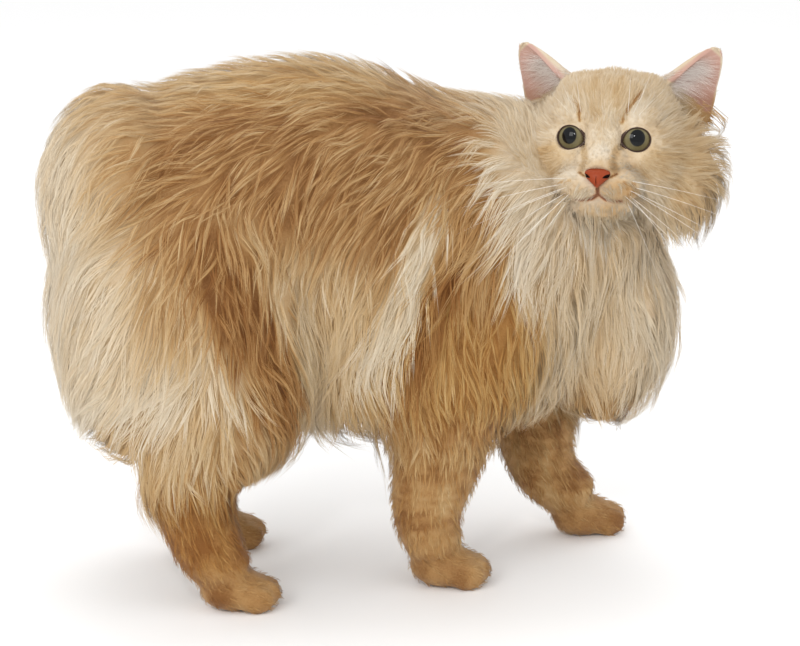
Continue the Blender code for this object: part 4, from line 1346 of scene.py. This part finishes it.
def eyeMaterial():
    material, nodes, links, shader = newMaterial("eye", 0.02, 0.24)
    where = nodes.new("ShaderNodeAttribute")
    where.attribute_name = "where"
    parts = nodes.new("ShaderNodeSeparateColor")
    links.new(where.outputs["Color"], parts.inputs[0])
    streaks = nodes.new("ShaderNodeTexNoise")
    streaks.inputs["Scale"].default_value = 9
    streaks.inputs["Detail"].default_value = 4
    spread = nodes.new("ShaderNodeCombineXYZ")
    links.new(mathNode(nodes, links, "MULTIPLY", parts.outputs["Blue"], 6.0), spread.inputs[0])
    links.new(parts.outputs["Red"], spread.inputs[1])
    links.new(spread.outputs[0], streaks.inputs["Vector"])
    ring = mathNode(nodes, links, "MULTIPLY_ADD", streaks.outputs["Fac"], 0.22, -0.11)
    ring = mathNode(nodes, links, "ADD", ring, parts.outputs["Red"])
    iris = ramp(nodes, eyeLook["iris"])
    links.new(ring, iris.inputs[0])
    pupil = nodes.new("ShaderNodeMapRange")
    pupil.inputs["From Min"].default_value = 0.47
    pupil.inputs["From Max"].default_value = 0.53
    links.new(parts.outputs["Green"], pupil.inputs["Value"])
    colour = mixColour(nodes, links, pupil.outputs[0], linear(eyeLook["pupilColour"]), iris.outputs[0])
    links.new(colour, shader.inputs["Base Color"])
    return material


def makeEye(side, name, material, rimMaterial):
    bm = bmesh.new()
    forward = Matrix.Rotation(math.pi / 2, 4, "Y")
    bmesh.ops.create_uvsphere(bm, u_segments=64, v_segments=48, radius=eye["radius"], matrix=forward)
    ballObject = newObject(name, bm)
    points = np.array([v.co for v in ballObject.data.vertices])
    radial = np.hypot(points[:, 1], points[:, 2]) / eyeLook["irisRadius"]
    wide, high = eyeLook["pupil"]
    oval = np.hypot(points[:, 1] / wide, (points[:, 2] - eyeLook["gaze"]) / high) * 0.5
    turn = np.arctan2(points[:, 2], points[:, 1]) / (2 * math.pi) + 0.5
    front = points[:, 0] > 0
    marks = ballObject.data.attributes.new("where", "FLOAT_COLOR", "POINT")
    radial, oval = np.where(front, radial, 1), np.where(front, np.minimum(oval, 1), 1)
    rows = np.stack([radial, oval, turn, np.ones(len(points))], 1)
    marks.data.foreach_set("color", rows.astype(np.float32).ravel())
    dress(ballObject, material)
    ballObject.data.transform(headFrame @ eyeFrame(side))
    putInPlace(ballObject)
    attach(ballObject, "root")
    # rim of the lids
    wide, high = eye["opening"]
    rings = []
    for k in range(56):
        angle = 2 * math.pi * k / 56
        across, up = math.cos(angle), math.sin(angle)
        corner = max(0.0, -across * side) ** 6
        y, z = across * (wide - 0.02) * (1 + 0.12 * corner), up * (high - 0.02) - 0.1 * corner
        x = math.sqrt(max(0.0, (eye["radius"] + 0.05) ** 2 - y * y - z * z))
        thick = eyeLook["rimWidth"] * (1 + 0.8 * corner)
        rings.append((Vector((x, y, z)), thick, thick, thick))
    rim = tube(rings, Vector((1, 0, 0)), sides=10, closed=True)
    rim.name = name + "Rim"
    dress(rim, rimMaterial)
    rim.data.transform(headFrame @ eyeFrame(side))
    putInPlace(rim)
    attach(rim, "root")
    return ballObject


def simpleMaterial(name, colour, roughness, specular=0.4, second=None, scale=300, bumpHeight=0.0):
    material, nodes, links, shader = newMaterial(name, roughness, specular)
    fine = noiseNode(nodes, links, scale, 4)
    mixed = mixColour(nodes, links, fine, linear(colour), linear(second or colour))
    links.new(mixed, shader.inputs["Base Color"])
    if bumpHeight:
        bumpNode(nodes, links, fine, shader, 0.5, bumpHeight)
    return material


eyeFinish = eyeMaterial()
rimFinish = simpleMaterial("lidRim", eyeLook["rim"], 0.4, 0.3, (74, 50, 40), 500, 0.0002)
rightEye = makeEye(-1, "rightEye", eyeFinish, rimFinish)
leftEye = makeEye(1, "leftEye", eyeFinish, rimFinish)
print("eyes made")

# Nose leather
noseLook = {
    "colour": (136, 50, 20),
    "second": (150, 64, 30),
    # the nostrils' insides are painted nearly black: painted shade for the depth of the openings
    "inside": (40, 20, 16),
    "roughness": 0.45,
    "nostril": ((0.3, 0.68, 0.14), (0.4, 0.34, 0.1), 0.3),
}


def makeNose():
    pad = noseShape(0.0, 64)
    x, y, z = nose["place"]
    nostrils = []
    for side in (-1, 1):
        (dx, dy, dz), radii, tilt = noseLook["nostril"]
        slant = Matrix.Translation((x + dx, dy * side, z + dz)) @ Matrix.Rotation(tilt * side, 4, "X")
        combine(pad, "DIFFERENCE", ball((0, 0, 0), radii, slant, 24))
        nostrils.append((slant.inverted(), np.array(radii)))
    crease = ball((x + 0.5, 0, z - 0.25), (0.18, 0.025, 0.4), segments=16)
    combine(pad, "DIFFERENCE", crease)
    pad.name = "noseLeather"
    pad.data.shade_smooth()
    pad.data.set_sharp_from_angle(angle=math.radians(50))
    pad.data.materials.clear()
    first, second = noseLook["colour"], noseLook["second"]
    leather = simpleMaterial("noseLeather", first, noseLook["roughness"], 0.2, second, 900, 0.0003)
    pad.data.materials.append(leather)
    # painted shade: the nostrils' dark inside
    pad.data.materials.append(simpleMaterial("nostril", noseLook["inside"], 0.6, 0.2))
    middles = np.array([p.center for p in pad.data.polygons])
    inside = np.zeros(len(middles), bool)
    for toNostril, radii in nostrils:
        inside |= ((moved(middles, toNostril) / (radii * 1.05)) ** 2).sum(1) < 1
    pad.data.polygons.foreach_set("material_index", inside.astype(np.int32))
    pad.data.transform(headFrame)
    putInPlace(pad)
    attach(pad, "root")
    return pad


noseLeather = makeNose()
print("nose made")

# Whiskers: root (y, z) on the pad of one side, degrees below level, length, droop
whiskers = {
    "width": 0.05,
    "ahead": {-1: 0.35, 1: -0.15},  # how far they point forward on each side
    "rows": [
        (1.55, -2.65, 4, 6.2, 0.10),
        (1.9, -3.0, 15, 6.4, 0.14),
        (1.55, -3.1, 21, 6.8, 0.16),
        (2.0, -3.35, 28, 6.6, 0.18),
        (1.7, -3.45, 35, 6.2, 0.20),
        (1.45, -3.45, 43, 6.2, 0.20),
        (1.85, -3.7, 50, 5.0, 0.25),
        (1.55, -3.75, 58, 4.6, 0.25),
    ],
    # root, way out, length, droop
    "brows": [
        (1.5, 0.75, (0.4, 0.5, 1.0), 3.0, -0.2),
        (1.75, 0.7, (0.3, 0.8, 0.9), 2.6, 0.1),
        (1.3, 0.8, (0.5, 0.1, 1.0), 2.4, -0.1),
    ],
}


def hairLine(start, way, length, droop, steps=9):
    way = np.array(way) / np.linalg.norm(way)
    t = np.linspace(0, 1, steps)[:, None]
    return start + way * length * t + np.array([-0.35, 0, -1.0]) * droop * length * 0.5 * t**2


def makeHairs(name, lines, widths, material, slot, facing=None):
    count = max(len(line) for line in lines)
    points = np.stack([moved(line, headFrame) for line in lines])
    ups = np.tile(np.array([0.03, 0.02, 1.0]), (len(points), count, 1))
    vertices, quads, triangles = strandMesh(points, ups, np.array(widths))
    shape = vertices.shape[:2]
    along = np.linspace(0, 1, shape[1])[None].repeat(shape[0], 0)
    marks = (np.zeros(shape), np.zeros(shape), along, np.ones(shape))
    start = chance.random((shape[0], 1, 2)) * 0.9
    uv = start + np.stack([along * 0, along], 2) * 0.02
    if facing is not None:
        facing = unit(np.array(facing)[:, None] + chance.normal(0, 0.08, (shape[0], 1, 3))).repeat(shape[1], 1)
    addPiece(name, vertices, quads, triangles, marks, uv, material, slot, facing)


def rootOn(y, z, depth):
    # the place in the head's frame that lies that deep under the skin of the face
    start, aim = headFrame @ Vector((9, y, z)), headFrame.to_3x3() @ Vector((-1, 0, 0))
    hit = skinSurface["tree"].ray_cast(start, aim)[0]
    return inHead(np.array([hit]))[0] - np.array([depth, 0, 0])


def makeWhiskers():
    lines, widths = [], []
    for side in (-1, 1):
        for y, z, below, length, droop in whiskers["rows"]:
            below = math.radians(below + chance.normal(0, 3))
            root = rootOn(y * side, z, 0.15)
            ahead = chance.uniform(-0.1, 0.1) + whiskers["ahead"][side]
            wayOut = (ahead, math.cos(below) * side, -math.sin(below))
            lines.append(hairLine(root, wayOut, length * chance.uniform(0.92, 1.08), droop))
            widths.append(whiskers["width"])
        for y, z, way, length, droop in whiskers["brows"]:
            root = rootOn(y * side, z, 0.1)
            lines.append(hairLine(root, (way[0], way[1] * side, way[2]), length, droop))
            widths.append(whiskers["width"] * 0.7)
    makeHairs("whiskers", lines, widths, simpleMaterial("whisker", (250, 246, 238), 0.35, 0.4), "coat_pale")


makeWhiskers()

# Long pale hairs across each ear's cup
earHair = {"count": 650, "length": (1.4, 3.0), "width": 0.024}


def makeEarHair():
    lines, widths, facing = [], [], []
    for side in (-1, 1):
        where = earFrame(side)
        outward = headFrame.to_3x3() @ where.to_3x3() @ Vector((1, 0, 0.2))
        for _ in range(earHair["count"] // (1)):
            height = chance.uniform(-0.5, 2.0)
            inner = -1.78 + 0.42 * height + 0.9 * chance.random() ** 2
            start = np.array([chance.uniform(-0.2, 0.3), inner * side, height])
            upward = math.radians(chance.uniform(8, 66))
            way = np.array([chance.uniform(-0.1, 0.3), math.cos(upward) * side, math.sin(upward)])
            length = chance.uniform(*earHair["length"]) * (1 - 0.25 * max(height, 0) / 1.7)
            t = np.linspace(0, 1, 6)[:, None]
            line = start + way * length * t + np.array([0.1, 0, -0.3]) * t**2 * length * 0.4
            lines.append(moved(line, where))
            widths.append(earHair["width"] * chance.uniform(0.7, 1.3))
            facing.append(tuple(outward))
    material = simpleMaterial("earHair", (252, 244, 236), 0.6, 0.2, (240, 224, 214))
    makeHairs("earHair", lines, widths, material, "coat_pale", facing)


makeEarHair()
print("whiskers and ear hair made")

# The frame's flesh, eyes and nose, which the new pieces replace, are hidden
flesh = [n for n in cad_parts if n.split("_")[0] not in ("eye", "nose")]
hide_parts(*flesh)
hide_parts("eye_right")
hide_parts("eye_left")
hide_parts("nose")

# Floor, light and camera
stage = {"floor": (252, 252, 252), "world": 1.0, "size": 8.0}


def makeStage():
    bm = bmesh.new()
    bmesh.ops.create_grid(bm, x_segments=1, y_segments=1, size=stage["size"])
    floor = newObject("floor", bm)
    floor.data.materials.append(simpleMaterial("floor", stage["floor"], 0.8, 0.1))
    world = bpy.data.worlds.new("studio")
    bpy.context.scene.world = world
    world.use_nodes = True
    background = world.node_tree.nodes["Background"]
    background.inputs["Color"].default_value = (1, 1, 1, 1)
    background.inputs["Strength"].default_value = stage["world"]


lamps = {
    # place, aimed at, size, watts
    "key": ((-1.3, -1.35, 1.25), (0, 0, 0.15), 0.9, 11.8),
    "fill": ((1.5, -1.2, 0.9), (0, 0, 0.15), 1.2, 1.2),
    "top": ((0.1, 0.5, 1.9), (0, 0, 0.15), 1.0, 6),
    "catch": ((-0.42, -1.25, 1.05), (0.12, -0.05, 0.26), 0.11, 3.2),
}


def makeLamps():
    for name, (place, aim, size, watts) in lamps.items():
        data = bpy.data.lights.new(name, "AREA")
        data.size = size
        data.energy = watts
        lamp = bpy.data.objects.new(name, data)
        lamp.location = place
        lamp.rotation_euler = (Vector(aim) - Vector(place)).to_track_quat("-Z", "Y").to_euler()
        bpy.context.scene.collection.objects.link(lamp)


view = {
    "azimuth": -12,
    "elevation": 14,
    "distance": 130.0,
    "target": (0, -3.6, 15.5),
    "pixelsPerCm": 17.6,
    "middle": (392, 330),
    "picture": (800, 646),
}


def makeCamera():
    a, e = math.radians(view["azimuth"]), math.radians(view["elevation"])
    back = Vector((math.sin(a) * math.cos(e), -math.cos(a) * math.cos(e), math.sin(e)))
    data = bpy.data.cameras.new("camera")
    data.sensor_width = 36
    wide, high = view["picture"]
    data.lens = data.sensor_width * view["pixelsPerCm"] * view["distance"] / wide
    data.shift_x = (wide / 2 - view["middle"][0]) / wide
    data.shift_y = (view["middle"][1] - high / 2) / wide
    camera = bpy.data.objects.new("camera", data)
    camera.location = (Vector(view["target"]) + back * view["distance"]) * cm + shift
    camera.rotation_mode = "QUATERNION"
    camera.rotation_quaternion = (-back).to_track_quat("-Z", "Y")
    bpy.context.scene.collection.objects.link(camera)
    bpy.context.scene.camera = camera


makeStage()
makeLamps()
makeCamera()
bpy.context.scene.view_settings.view_transform = "Standard"

print("done")
